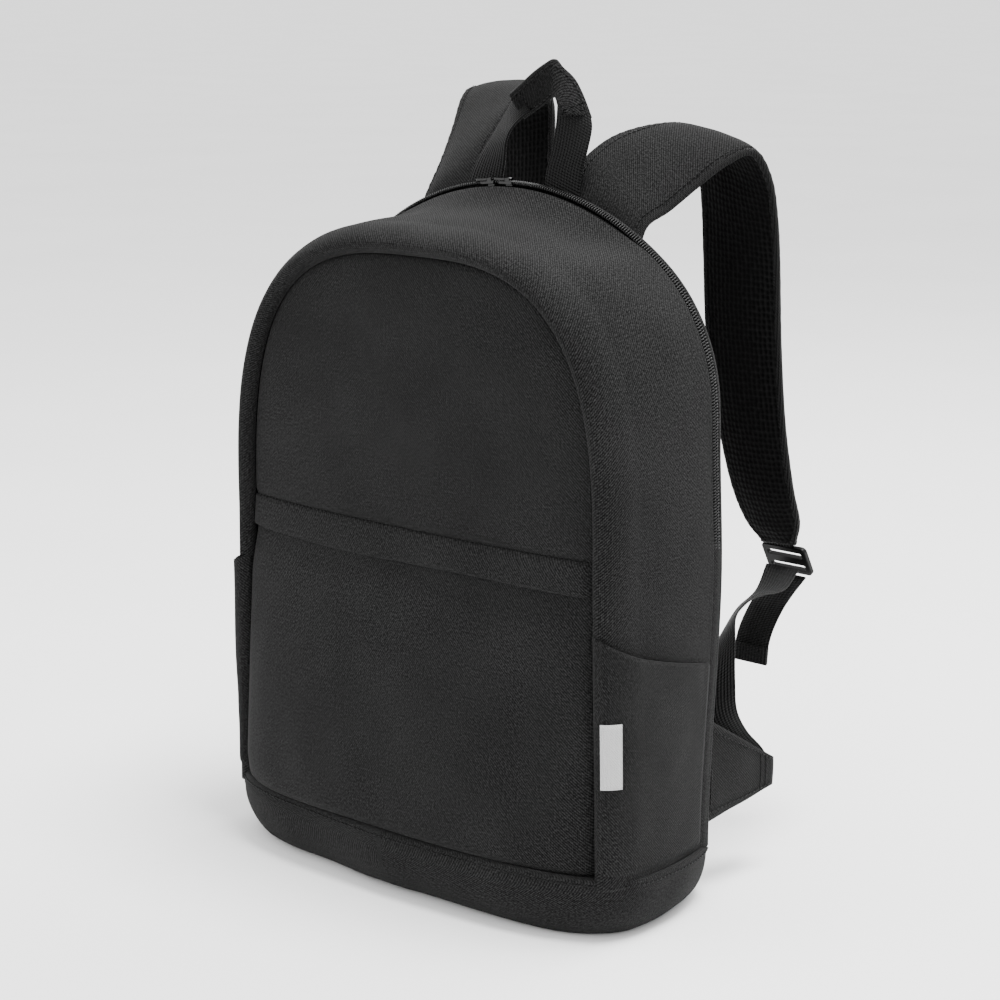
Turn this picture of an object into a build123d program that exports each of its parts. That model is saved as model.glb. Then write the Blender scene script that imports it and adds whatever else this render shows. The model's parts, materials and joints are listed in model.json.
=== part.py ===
from build123d import *
import os
from math import cos, radians, sin, sqrt

# School backpack, millimetres. The origin is on the floor under the middle of the base.
# X runs across the bag, -Y is its front, +Y the wearer's back, +Z is up.

os.makedirs("parts", exist_ok=True)

# ---- driving dimensions ----
BAG_HEIGHT = 417.0  # top of the zip arch above the floor
BACK_HALF_WIDTH = 151.0  # gusset at the back edge
FRONT_HALF_WIDTH = 135.0  # gusset at the front seam
FRONT_HEIGHT = 383.0  # top of the front seam
FRONT_Y = -45.0  # plane of the front seam
ZIP_Y = 42.0  # plane of the main zip
BACK_Y = 52.0  # plane of the back panel's inner face
CROWN_BACK = 178.0  # radius of the zip arch over the crown, the sliders' track
SHOULDER_BACK = 105.0
CROWN_FRONT = 350.0
SHOULDER_FRONT = 75.0
CLOTH = 2.0  # wall of a cloth panel
BAND_TOP = 42.0  # seam between the base band and the walls
SPLIT_Z = 215.0  # the opening shell starts above this height
WALL_OVERLAP = 7.0  # the lower walls reach this far up inside the opening shell
LOWER_INSET = 4.0  # the lower gusset stands this far inside the upper one
WEBBING = 25.0  # width of all webbing
WEB_THICK = 1.6
GAP = 0.4  # running gap between pieces that move apart


def save(piece, name):
    """Label a finished piece and write it as its own node."""
    piece.part.label = name
    export_step(piece.part, f"parts/{name}.step")


# ---- the arch outlines ----
def arch_points(half_width, height, crown, shoulder, inset):
    """Key points of an arch of one crown arc and two shoulder arcs, tangent to each other."""
    centre_x = half_width - shoulder
    crown_z = height - crown
    centre_z = crown_z + sqrt((crown - shoulder) ** 2 - centre_x**2)
    lean_x = centre_x / (crown - shoulder)
    lean_z = (centre_z - crown_z) / (crown - shoulder)
    radius = shoulder - inset
    spring = (half_width - inset, centre_z)
    joint = (centre_x + radius * lean_x, centre_z + radius * lean_z)
    bend_angle = radians(30)
    bend = (centre_x + radius * cos(bend_angle), centre_z + radius * sin(bend_angle))
    return spring, bend, joint, (0.0, height - inset)


def back_arch(inset):
    return arch_points(BACK_HALF_WIDTH, BAG_HEIGHT, CROWN_BACK, SHOULDER_BACK, inset)


def front_arch(inset):
    return arch_points(FRONT_HALF_WIDTH, FRONT_HEIGHT, CROWN_FRONT, SHOULDER_FRONT, inset)


def arch_face(points, plane_y, foot_z):
    """Face of the arch in the plane y = plane_y, standing on foot_z."""
    spring, bend, joint, top = points
    # Plane.XZ looks towards -Y, so its own offset is the negative of y
    with BuildSketch(Plane.XZ.offset(-plane_y)) as face:
        with BuildLine():
            Line((-spring[0], foot_z), (spring[0], foot_z))
            Line((spring[0], foot_z), spring)
            ThreePointArc(spring, bend, joint)
            ThreePointArc(joint, top, (-joint[0], joint[1]))
            ThreePointArc((-joint[0], joint[1]), (-bend[0], bend[1]), (-spring[0], spring[1]))
            Line((-spring[0], spring[1]), (-spring[0], foot_z))
        make_face()
    return face.sketch.face()


def slab_between(start_y, end_y):
    """A block that holds everything between two planes of constant y."""
    return Pos(0, (start_y + end_y) / 2, BAG_HEIGHT / 2) * Box(900, end_y - start_y, 1200)


def arch_wall(start_y, end_y, inset, thickness, foot_z):
    """Wall of the tapering arch between two planes, open at its front, back and foot."""
    under = foot_z - 1.0
    deep = inset + thickness
    outer = [arch_face(front_arch(inset), FRONT_Y, foot_z), arch_face(back_arch(inset), ZIP_Y, foot_z)]
    inner = [arch_face(front_arch(deep), FRONT_Y, under), arch_face(back_arch(deep), ZIP_Y, under)]
    kept = slab_between(start_y, end_y)
    with BuildPart() as wall:
        loft(outer, ruled=True)
        loft(inner, ruled=True, mode=Mode.SUBTRACT)
        add(kept, mode=Mode.INTERSECT)
    return wall


def arch_ring(start_y, end_y, inset, thickness, foot_z):
    """Straight strip of the back arch between two planes of constant y."""
    outer = arch_face(back_arch(inset), start_y, foot_z)
    inner = arch_face(back_arch(inset + thickness), start_y, foot_z - 1.0)
    with BuildPart() as ring:
        extrude(outer, amount=end_y - start_y, dir=(0, 1, 0))
        extrude(inner, amount=end_y - start_y, dir=(0, 1, 0), mode=Mode.SUBTRACT)
    return ring


def arch_plate(points, start_y, end_y, foot_z):
    """Flat panel of the arch's outline between two planes of constant y."""
    face = arch_face(points, start_y, foot_z)
    with BuildPart() as plate:
        extrude(face, amount=end_y - start_y, dir=(0, 1, 0))
    return plate


# ---- ribbons: straps and webbing ----
def ribbon(stations, thickness, lift=0.0):
    """Flat strap through stations of (left edge, right edge), raised by lift along its normal."""
    last = len(stations) - 1
    middles = [(Vector(*left) + Vector(*right)) * 0.5 for left, right in stations]
    sections = []
    for index, (left, right) in enumerate(stations):
        along = middles[min(index + 1, last)] - middles[max(index - 1, 0)]
        across = Vector(*right) - Vector(*left)
        normal = across.cross(along).normalized()
        tangent = normal.cross(across).normalized()
        middle = middles[index] + normal * (lift + thickness / 2)
        with BuildSketch(Plane(origin=middle, x_dir=across, z_dir=tangent)) as section:
            Rectangle(across.length, thickness)
        sections.append(section.sketch.face())
    with BuildPart() as strap:
        loft(sections, ruled=True)
    return strap


def narrowed(stations, keep_from, keep_to):
    """The same stations with each edge moved to a fraction of the width."""
    kept = []
    for left, right in stations:
        start = Vector(*left)
        across = Vector(*right) - start
        kept.append((tuple(start + across * keep_from), tuple(start + across * keep_to)))
    return kept


def raised(pair, rise):
    """An edge pair lifted in millimetres, its outer edge more than its inner one."""
    (inner_x, inner_y, inner_z), (outer_x, outer_y, outer_z) = pair
    return (inner_x, inner_y, inner_z + rise), (outer_x, outer_y, outer_z + 1.4 * rise)


def on_side(stations, side):
    """The stations for the right side as given, or mirrored for the left side."""
    if side > 0:
        return stations
    return [((-right[0], *right[1:]), (-left[0], *left[1:])) for left, right in stations]


# ---- base ----
BASE_FRONT = -78.0  # the front pocket's fullest point, at the base seam
BASE_ROUND = 20.0  # rounding under the base
SIDE_AT_BASE = 152.0
BASE_BACK = BACK_Y + 9.0  # flat rear face of the base, under the back pad


def base_plan(inset):
    """Plan of the base before its rear face is cut: straight sides, bowed front with soft corners."""
    with BuildSketch() as plan:
        with BuildLine():
            corners = [(138, -46), (SIDE_AT_BASE, -15), (SIDE_AT_BASE, 2 * BASE_BACK)]
            Polyline(*corners, *[(-x, y) for x, y in reversed(corners)])
            ThreePointArc((-138, -46), (0, BASE_FRONT), (138, -46))
        make_face()
        fillet(plan.vertices(), 12)
        if inset:
            offset(amount=-inset, mode=Mode.REPLACE)
    return plan.sketch.face()


def base_tub(inset):
    """Solid of the base, rounded under its front and sides, standing on z = inset."""
    face = base_plan(inset)
    in_front = Pos(0, BASE_BACK - inset - 200, 0) * Box(400, 400, 400)
    with BuildPart() as tub:
        extrude(face, amount=BAND_TOP)
        fillet(tub.faces().sort_by(Axis.Z)[0].edges(), BASE_ROUND - inset)
        add(in_front, mode=Mode.INTERSECT)
    return Pos(0, 0, inset) * tub.part


band_outside = base_tub(0)
band_inside = base_tub(CLOTH)
with BuildPart() as base_band:
    add(band_outside)
    add(band_inside, mode=Mode.SUBTRACT)
save(base_band, "base_band")

# ---- main body walls ----
COIL_GAP = 1.8  # room for the sliders' wedge between the two coils
COIL_WIDE = 2.2
TAPE_WIDE = 3.0
GUSSET_END = ZIP_Y - COIL_GAP / 2 - COIL_WIDE - TAPE_WIDE  # the gusset's edge, where the tape starts
upper_gusset = arch_wall(FRONT_Y, GUSSET_END, 0, CLOTH, SPLIT_Z)
save(upper_gusset, "upper_gusset")
front_panel_upper = arch_plate(front_arch(0), FRONT_Y - 2.5, FRONT_Y, SPLIT_Z + WALL_OVERLAP)
save(front_panel_upper, "front_panel_upper")

LOWER_WALL_TOP = SPLIT_Z + WALL_OVERLAP
lower_wall = arch_wall(FRONT_Y + 1.0, ZIP_Y, LOWER_INSET, CLOTH, BAND_TOP)
for side, name in ((1, "lower_gusset_right"), (-1, "lower_gusset_left")):
    side_block = Pos(side * 150, 0, LOWER_WALL_TOP - 150) * Box(200, 400, 300)
    with BuildPart() as lower_gusset:
        add(lower_wall.part)
        add(side_block, mode=Mode.INTERSECT)
    save(lower_gusset, name)

MAIN_WALL_Y = FRONT_Y + 4.0
MAIN_WALL_HALF = FRONT_HALF_WIDTH - LOWER_INSET - CLOTH - 1.0
with BuildPart() as main_front_wall:
    with Locations((0, MAIN_WALL_Y, (BAND_TOP + LOWER_WALL_TOP) / 2)):
        Box(2 * MAIN_WALL_HALF, CLOTH, LOWER_WALL_TOP - BAND_TOP)
save(main_front_wall, "main_front_wall")

rear_flange = arch_ring(2 * ZIP_Y - GUSSET_END, BACK_Y, 0, CLOTH, BAND_TOP)
save(rear_flange, "rear_flange")
back_panel = arch_plate(back_arch(0), BACK_Y, BACK_Y + CLOTH, BAND_TOP)
save(back_panel, "back_panel")

PAD_HALF_WIDTH = 126.0
PAD_TOP = 372.0
PAD_FOAM = 6.0
PAD_MESH = 1.5
for name, start, thickness in (("back_foam", 0.0, PAD_FOAM), ("back_mesh", PAD_FOAM, PAD_MESH)):
    with BuildPart() as pad:
        with BuildSketch(Plane.XZ.offset(-(BACK_Y + CLOTH + start))):
            with Locations((0, (PAD_TOP + BAND_TOP) / 2)):
                RectangleRounded(2 * PAD_HALF_WIDTH, PAD_TOP - BAND_TOP, 40)
        extrude(amount=-thickness)
    save(pad, name)

# ---- main zip ----
COIL_DEEP = 2.4
COIL_INSET = 0.6
TAPE = 0.8
rear_coil_end = ZIP_Y + COIL_GAP / 2 + COIL_WIDE
tape_inset = CLOTH + 0.2
for name, start, width, inset, thickness in (
    ("main_zip_tape_front", GUSSET_END, TAPE_WIDE, tape_inset, TAPE),
    ("main_zip_coil_front", GUSSET_END + TAPE_WIDE, COIL_WIDE, COIL_INSET, COIL_DEEP),
    ("main_zip_coil_rear", rear_coil_end - COIL_WIDE, COIL_WIDE, COIL_INSET, COIL_DEEP),
    ("main_zip_tape_rear", rear_coil_end, TAPE_WIDE, tape_inset, TAPE),
):
    save(arch_ring(start, start + width, inset, thickness, SPLIT_Z), name)

stop_x = BACK_HALF_WIDTH - COIL_INSET - COIL_DEEP / 2
stop_z = SPLIT_Z - GAP - 2.0
with BuildPart() as main_zip_end_stops:
    with Locations((stop_x, ZIP_Y + 2, stop_z), (-stop_x, ZIP_Y + 2, stop_z)):
        Box(COIL_DEEP, 6.0, 4.0)
save(main_zip_end_stops, "main_zip_end_stops")

# The two sliders ride the crown arc: each is drawn at the top of the arc, then turned to its place.
CROWN_Z = BAG_HEIGHT - CROWN_BACK
SLIDER_LONG = 10.0
SLIDER_WIDE = 8.4
PLATE = 1.4
slider_top = CROWN_BACK - COIL_INSET + GAP  # underside of the top plate, from the crown's centre
slider_low = CROWN_BACK - COIL_INSET - COIL_DEEP - GAP  # top face of the bottom plate
PULL_PIN_LIFT = 2.6  # puller's pin above the top plate's underside
PULL_LONG = 10.0
PULL_WIDE = 5.0
PULL_THICK = 1.2


def zip_slider():
    """Slider over the top of the crown arc: two plates, a wedge between the coils and a lug."""
    with BuildPart() as slider:
        with Locations((0, ZIP_Y, slider_top + PLATE / 2), (0, ZIP_Y, slider_low - PLATE / 2)):
            Box(SLIDER_LONG, SLIDER_WIDE, PLATE)
        with Locations((0, ZIP_Y, (slider_top + slider_low) / 2)):
            Box(SLIDER_LONG * 0.5, 0.9, slider_top - slider_low)
        lug_z = slider_top + PLATE + 0.6
        with Locations((0, ZIP_Y - 1.9, lug_z), (0, ZIP_Y + 1.9, lug_z)):
            Box(3.2, 1.0, 2.6)
        with BuildSketch(Plane.XZ.offset(-(ZIP_Y - 1.5))):
            with Locations((0, slider_top + PULL_PIN_LIFT)):
                Circle(0.4)
        extrude(amount=-3.0)
    return slider.part


def zip_pull():
    """Puller lying flat towards -X from the slider's pin, with a grip hole."""
    pin_z = slider_top + PULL_PIN_LIFT
    with BuildPart() as pull:
        with BuildSketch(Plane.XZ.offset(-(ZIP_Y - 1.0))):
            with Locations((0, pin_z)):
                Circle(1.1)
                Circle(0.5, mode=Mode.SUBTRACT)
        extrude(amount=-2.0)
        with BuildSketch(Plane.XY.offset(pin_z - PULL_THICK / 2)):
            with Locations((-1.0 - PULL_LONG / 2, ZIP_Y)):
                RectangleRounded(PULL_LONG, PULL_WIDE, 1.5)
            with Locations((-PULL_LONG * 0.75, ZIP_Y)):
                RectangleRounded(4.5, 2.4, 1.1, mode=Mode.SUBTRACT)
            with Locations((0, ZIP_Y)):
                Rectangle(3.6, PULL_WIDE + 1, mode=Mode.SUBTRACT)
        extrude(amount=PULL_THICK)
        with BuildSketch(Plane.XY.offset(pin_z - PULL_THICK / 2)):
            with Locations((-1.55, ZIP_Y)):
                Rectangle(1.3, 2.0)
        extrude(amount=PULL_THICK)
    return pull.part


RIGHT_SLIDER_TURN = -0.8  # degrees about +Y from the top of the crown, positive towards +X
LEFT_SLIDER_TURN = -5.4
slider_shape = zip_slider()
pull_shape = zip_pull()
for turn, slider_name, pull_name in (
    (RIGHT_SLIDER_TURN, "main_zip_slider_right", "main_zip_pull_right"),
    (LEFT_SLIDER_TURN, "main_zip_slider_left", "main_zip_pull_left"),
):
    place = Pos(0, 0, CROWN_Z) * Rot(0, turn, 0)
    for shape, name in ((slider_shape, slider_name), (pull_shape, pull_name)):
        placed = place * shape
        with BuildPart() as piece:
            add(placed)
        save(piece, name)
pin_radius = slider_top + PULL_PIN_LIFT
for label, turn in (("right", RIGHT_SLIDER_TURN), ("left", LEFT_SLIDER_TURN)):
    angle = radians(turn)
    pin_x = pin_radius * sin(angle)
    pin_z = CROWN_Z + pin_radius * cos(angle)
    print(label, "pull pin at x, z:", round(pin_x, 3), round(pin_z, 3))

# ---- front pocket ----
POCKET_TOP = 198.0  # top edge of the pocket's panel
POCKET_HALF = 132.0
POCKET_FRONT = -59.5  # corner of the panel at its top edge
POCKET_FRONT_LOW = -62.0  # corner of the panel at the base seam
POCKET_ROOT = FRONT_Y + 1.0


def pocket_plan(height, corner_y, middle_y, inset):
    """Plan of the pocket at one height: straight side walls and a bowed front."""
    half = POCKET_HALF - inset
    root = POCKET_ROOT + (5.0 if inset else 0.0)
    with BuildSketch(Plane.XY.offset(height)) as plan:
        with BuildLine():
            Polyline((-half, corner_y + inset), (-half, root), (half, root), (half, corner_y + inset))
            ThreePointArc((half, corner_y + inset), (0, middle_y + inset), (-half, corner_y + inset))
        make_face()
    return plan.sketch.face()


pocket_sections = [(BAND_TOP, POCKET_FRONT_LOW, BASE_FRONT), (POCKET_TOP, POCKET_FRONT, POCKET_FRONT - 1.0)]
pocket_outer = [pocket_plan(*section, 0.0) for section in pocket_sections]
pocket_inner = [pocket_plan(*section, CLOTH) for section in pocket_sections]
with BuildPart() as front_pocket_panel:
    loft(pocket_outer, ruled=True)
    loft(pocket_inner, ruled=True, mode=Mode.SUBTRACT)
save(front_pocket_panel, "front_pocket_panel")

FLAP_BOTTOM = 203.0
FLAP_TOP = 217.0
FLAP_FACE = -66.0  # outer face of the flap hem
ZIP_LEVEL = 200.6  # middle of the pocket's coil
ZIP_BACK = -58.2  # rear face of the pocket's tapes
ZIP_HALF = 128.0
with BuildPart() as pocket_flap:
    with BuildSketch(Plane.XY.offset(FLAP_BOTTOM)):
        with BuildLine():
            for inset in (0.0, CLOTH):
                edge = FLAP_FACE + inset
                ThreePointArc((-POCKET_HALF, edge), (0, edge - 1.5), (POCKET_HALF, edge))
            Line((-POCKET_HALF, FLAP_FACE), (-POCKET_HALF, FLAP_FACE + CLOTH))
            Line((POCKET_HALF, FLAP_FACE), (POCKET_HALF, FLAP_FACE + CLOTH))
        make_face()
    extrude(amount=FLAP_TOP - FLAP_BOTTOM)
save(pocket_flap, "pocket_flap")

for name, low, high, back, front in (
    ("pocket_zip_tape_lower", POCKET_TOP + GAP, ZIP_LEVEL - 1.2, ZIP_BACK, ZIP_BACK - TAPE),
    ("pocket_zip_coil", ZIP_LEVEL - 1.2, ZIP_LEVEL + 1.2, ZIP_BACK, ZIP_BACK - 1.8),
    ("pocket_zip_tape_upper", ZIP_LEVEL + 1.2, FLAP_TOP - 2.0, ZIP_BACK, ZIP_BACK - TAPE),
):
    with BuildPart() as strip:
        with Locations((0, (back + front) / 2, (low + high) / 2)):
            Box(2 * ZIP_HALF, back - front, high - low)
    save(strip, name)
with BuildPart() as pocket_zip_stops:
    for x in (-ZIP_HALF - 1.5, ZIP_HALF + 1.5):
        with Locations((x, ZIP_BACK - 0.9, ZIP_LEVEL)):
            Box(2.4, 1.8, 4.0)
save(pocket_zip_stops, "pocket_zip_stops")

POCKET_SLIDER_X = -116.0  # the closed end of the pocket's zip
slider_face = ZIP_BACK - 1.8 - GAP  # rear face of the slider's front plate
with BuildPart() as pocket_zip_slider:
    with Locations((POCKET_SLIDER_X, slider_face - 0.6, ZIP_LEVEL)):
        Box(10.0, 1.2, 5.0)
    with Locations(*[(POCKET_SLIDER_X, slider_face + 0.4, ZIP_LEVEL + z) for z in (-2.1, 2.1)]):
        Box(10.0, 0.8, 0.8)
save(pocket_zip_slider, "pocket_zip_slider")
with BuildPart() as pocket_zip_pull:
    with BuildSketch(Plane.XZ.offset(-(slider_face - 1.2))):
        with Locations((POCKET_SLIDER_X + 8, ZIP_LEVEL + 6.2)):
            RectangleRounded(18, 5, 1.5)
        with Locations((POCKET_SLIDER_X + 13, ZIP_LEVEL + 6.2)):
            RectangleRounded(5, 2.4, 1.1, mode=Mode.SUBTRACT)
    extrude(amount=1.2)
save(pocket_zip_pull, "pocket_zip_pull")

# ---- side pockets ----
SIDE_FRONT_TOP = 183.0
SIDE_BACK_TOP = 149.0
HEM = 6.0
SIDE_BACK_Y = 44.0
SIDE_FRONT_Y = -43.0


def side_sheet(outward, inward):
    """Bowed outer wall of the right side pocket between two offsets from its middle surface."""
    root_x = FRONT_HALF_WIDTH + 3.0
    back_x = BACK_HALF_WIDTH + 2.0
    with BuildPart() as sheet:
        with BuildSketch(Plane.XY.offset(BAND_TOP)):
            with BuildLine():
                for lift in (outward, -inward):
                    start = (root_x + lift, SIDE_FRONT_Y)
                    end = (back_x + lift, SIDE_BACK_Y)
                    ThreePointArc(start, (155.0 + lift, -5), end)
                for x, y in ((root_x, SIDE_FRONT_Y), (back_x, SIDE_BACK_Y)):
                    Line((x + outward, y), (x - inward, y))
            make_face()
        extrude(amount=200)
    return sheet.part


def below_rim(drop):
    """Block under the pocket's sloping rim, lowered by drop."""
    with BuildPart() as block:
        with BuildSketch(Plane.YZ):
            with BuildLine():
                Polyline(
                    (SIDE_FRONT_Y - 5, 0),
                    (SIDE_BACK_Y + 5, 0),
                    (SIDE_BACK_Y + 5, SIDE_BACK_TOP - drop),
                    (SIDE_FRONT_Y - 5, SIDE_FRONT_TOP - drop),
                    close=True,
                )
            make_face()
        extrude(amount=300)
    return block.part


wall_sheet = side_sheet(0.7, 0.7)
hem_sheet = side_sheet(1.2, 1.2)
rim_block = below_rim(0)
wall_block = below_rim(HEM)
for side, wall_name, hem_name in (
    (1, "side_pocket_right", "side_pocket_hem_right"),
    (-1, "side_pocket_left", "side_pocket_hem_left"),
):
    with BuildPart() as side_wall:
        add(wall_sheet)
        add(wall_block, mode=Mode.INTERSECT)
        if side < 0:
            mirror(about=Plane.YZ, mode=Mode.REPLACE)
    save(side_wall, wall_name)
    with BuildPart() as side_hem:
        add(hem_sheet)
        add(rim_block, mode=Mode.INTERSECT)
        add(wall_block, mode=Mode.SUBTRACT)
        if side < 0:
            mirror(about=Plane.YZ, mode=Mode.REPLACE)
    save(side_hem, hem_name)

LABEL = [((141, -44, 95), (141, -44, 133)), ((151, -28, 95), (151, -28, 133))]
save(ribbon(LABEL, 0.8), "side_label")

# ---- grab handle ----
HANDLE_Y = 50.0
HANDLE_FOOT = 422.0
HANDLE_X = 3.5  # middle of the two legs
leg = [
    ((HANDLE_X - 42.5, HANDLE_FOOT), (HANDLE_X - 36, 448), (HANDLE_X - 17, 470), (HANDLE_X + 10, 490)),
    ((HANDLE_X - 16.5, HANDLE_FOOT), (HANDLE_X - 12, 436), (HANDLE_X - 3, 450), (HANDLE_X + 12, 462)),
]
handle_outline = [
    *leg[0],
    (HANDLE_X + 18, 492),
    (HANDLE_X + 46, 462),
    (HANDLE_X + 42.5, HANDLE_FOOT),
    (HANDLE_X + 16.5, HANDLE_FOOT),
    (HANDLE_X + 22, 452),
    *reversed(leg[1]),
]
GRIP_FOOT = 456.0
grip_zone = Pos(0, HANDLE_Y, GRIP_FOOT + 100) * Box(300, 100, 200)
with BuildPart() as loop:
    with BuildSketch(Plane.XZ.offset(-(HANDLE_Y - WEB_THICK / 2))):
        with BuildLine():
            Polyline(*handle_outline, close=True)
        make_face()
    extrude(amount=-WEB_THICK)
with BuildPart() as handle_webbing:
    add(loop.part)
save(handle_webbing, "handle_webbing")
with BuildPart() as handle_grip:
    with BuildSketch(Plane.XZ.offset(-(HANDLE_Y - 3.0))):
        with BuildLine():
            Polyline(*handle_outline, close=True)
        make_face()
        offset(amount=0.8, mode=Mode.REPLACE)
    extrude(amount=-6.0)
    add(grip_zone, mode=Mode.INTERSECT)
    add(loop.part, mode=Mode.SUBTRACT)
save(handle_grip, "handle_grip")

# ---- shoulder straps ----
# Edge pairs of the right strap, from its seam over the fold and down to its rounded end.
STRAP = [
    ((50, 60, 428), (100, 60, 397)),
    ((50, 74, 438), (103, 76, 405)),
    ((51, 92, 445), (108, 94, 418)),
    ((55, 114, 449), (114, 111, 431)),
    ((59, 132, 448), (119, 128, 436)),
    ((62, 145, 436), (120, 141, 419)),
    ((64, 148, 404), (120, 147, 394)),
    ((66, 147, 370), (120, 149, 366)),
    ((70, 146, 320), (121, 151, 319)),
    ((75, 152, 270), (122, 156, 270)),
    ((79, 162, 228), (123, 165, 228)),
    ((84, 172, 202), (122, 175, 204)),
    ((92, 179, 188), (116, 181, 189)),
]
# The left strap's fold stands higher than the right one's by this much at each edge pair.
LEFT_RISE = (5, 12, 17, 20, 19, 16, 10, 5, 1, 0, 0, 0, 0)
MESH_THICK = 2.0
FOAM_THICK = 5.0
COVER_THICK = 1.5
BINDING_SHARE = 0.05  # share of the width that each bound edge takes
LOCK_AT = (106.0, 187.5, 175.7)
LOCK_TILT = 30.0  # degrees from the vertical, its foot leaning away from the bag

strap_layers = (
    ("strap_cover", COVER_THICK, FOAM_THICK / 2),
    ("strap_foam", FOAM_THICK, -FOAM_THICK / 2),
    ("strap_mesh", MESH_THICK, -FOAM_THICK / 2 - MESH_THICK),
)
layers_total = COVER_THICK + FOAM_THICK + MESH_THICK
# The wing and the lower webbing of the right side.
WING = ((150, 54.6, 111), (150, 54.6, 46), (141, 116, 50), (141, 116, 66))
LOWER_WEBBING = [
    ((94, 181, 171), (119, 181, 171)),
    ((105, 154, 161), (129, 150, 166)),
    ((111, 126, 156), (131, 119, 170)),
    ((118, 101, 147), (134, 94, 164)),
    ((122, 82, 137), (140, 84, 150)),
    ((125, 69, 122), (145, 78, 127)),
    ((128, 66, 104), (144, 82, 108)),
    ((130, 76, 88), (143, 94, 92)),
    ((131, 88, 76), (143.5, 108, 79)),
    ((132, 98, 66), (143.8, 115, 71)),
]
TAIL = [
    ((94, 189.5, 164.5), (119, 189.5, 164.5)),
    ((95, 174, 157), (120, 174, 157)),
    ((97, 160, 150), (122, 160, 150)),
    ((98, 149, 140), (123, 149, 140)),
    ((98, 144, 130), (123, 144, 130)),
]
TAB = [((94, 180.4, 187.9), (114, 180.9, 187.9)), ((94, 181.9, 185.4), (114, 181.9, 185.4))]
TAIL_END = [((98, 143.5, 129.5), (123, 143.5, 129.5)), ((98, 142, 118), (123, 142, 118))]


def ladder_lock(side):
    """Ladder lock: a frame with three bars and two slots for the webbing."""
    frame_plane = Plane(
        origin=(side * LOCK_AT[0], LOCK_AT[1], LOCK_AT[2]),
        x_dir=(1, 0, 0),
        z_dir=(0, cos(radians(LOCK_TILT)), sin(radians(LOCK_TILT))),
    )
    with BuildPart() as lock:
        with BuildSketch(frame_plane):
            RectangleRounded(WEBBING + 8, 22, 3)
            with Locations((0, 5.0), (0, -5.0)):
                RectangleRounded(WEBBING + 1.5, 4.6, 1.5, mode=Mode.SUBTRACT)
        extrude(amount=1.6, both=True)
        fillet(lock.edges().group_by(Axis.X)[0] + lock.edges().group_by(Axis.X)[-1], 0.6)
    return lock


for side, hand in ((1, "right"), (-1, "left")):
    rises = LEFT_RISE if hand == "left" else (0,) * len(STRAP)
    stations = on_side([raised(pair, rise) for pair, rise in zip(STRAP, rises)], side)
    inner = narrowed(stations, BINDING_SHARE + 0.005, 0.995 - BINDING_SHARE)
    for layer, thickness, lift in strap_layers:
        save(ribbon(inner, thickness, lift), f"{layer}_{hand}")
    edge_lift = -FOAM_THICK / 2 - MESH_THICK
    edges = [narrowed(stations, 0, BINDING_SHARE), narrowed(stations, 1 - BINDING_SHARE, 1)]
    strips = [ribbon(edge, layers_total, edge_lift) for edge in edges]
    with BuildPart() as strap_binding:
        for strip in strips:
            add(strip.part)
    save(strap_binding, f"strap_binding_{hand}")
    save(ladder_lock(side), f"ladder_lock_{hand}")
    save(ribbon(on_side(TAB, side), WEB_THICK, -WEB_THICK / 2), f"strap_tab_{hand}")
    save(ribbon(on_side(LOWER_WEBBING, side), WEB_THICK), f"lower_webbing_{hand}")
    save(ribbon(on_side(TAIL, side), WEB_THICK), f"webbing_tail_{hand}")
    save(ribbon(on_side(TAIL_END, side), 4.0, -1.2), f"webbing_tail_end_{hand}")
    with BuildPart() as wing:
        with BuildSketch(Plane.YZ.offset(side * 146)):
            with BuildLine():
                Polyline(*[(y, z) for _, y, z in WING], close=True)
            make_face()
        extrude(amount=1.5, both=True)
    save(wing, f"wing_{hand}")
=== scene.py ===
import json
from math import atan2, cos, pi, sin

import bmesh
import bpy
import numpy as np
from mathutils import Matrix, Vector, noise


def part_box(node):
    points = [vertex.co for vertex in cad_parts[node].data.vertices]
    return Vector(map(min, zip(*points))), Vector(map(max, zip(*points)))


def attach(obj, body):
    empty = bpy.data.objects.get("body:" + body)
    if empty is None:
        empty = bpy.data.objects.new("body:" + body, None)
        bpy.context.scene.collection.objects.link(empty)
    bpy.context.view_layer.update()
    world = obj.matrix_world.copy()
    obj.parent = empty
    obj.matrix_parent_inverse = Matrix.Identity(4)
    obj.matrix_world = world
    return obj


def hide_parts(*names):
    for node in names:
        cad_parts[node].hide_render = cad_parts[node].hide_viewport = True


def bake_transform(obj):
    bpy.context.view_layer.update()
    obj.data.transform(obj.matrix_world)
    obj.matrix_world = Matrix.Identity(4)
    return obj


# School backpack. Shapes are worked out in millimetres in the CAD model's frame and scaled to
# metres when a mesh is made: X across the bag, -Y its front, +Y the wearer's back, +Z up.

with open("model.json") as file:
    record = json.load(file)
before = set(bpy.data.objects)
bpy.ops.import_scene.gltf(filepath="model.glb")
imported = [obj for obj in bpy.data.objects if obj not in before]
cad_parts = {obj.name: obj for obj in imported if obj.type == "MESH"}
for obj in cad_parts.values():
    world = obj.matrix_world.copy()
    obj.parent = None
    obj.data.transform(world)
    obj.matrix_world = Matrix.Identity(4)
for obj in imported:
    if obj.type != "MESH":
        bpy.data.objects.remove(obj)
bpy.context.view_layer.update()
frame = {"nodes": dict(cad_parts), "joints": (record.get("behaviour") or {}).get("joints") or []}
MM = 0.001


def node_mm(name):
    """Lowest and highest corner of a CAD node, in millimetres."""
    low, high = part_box(name)
    return np.array(low) * 1000, np.array(high) * 1000


def joint(name):
    return next(j for j in frame["joints"] if j["name"] == name)


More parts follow.
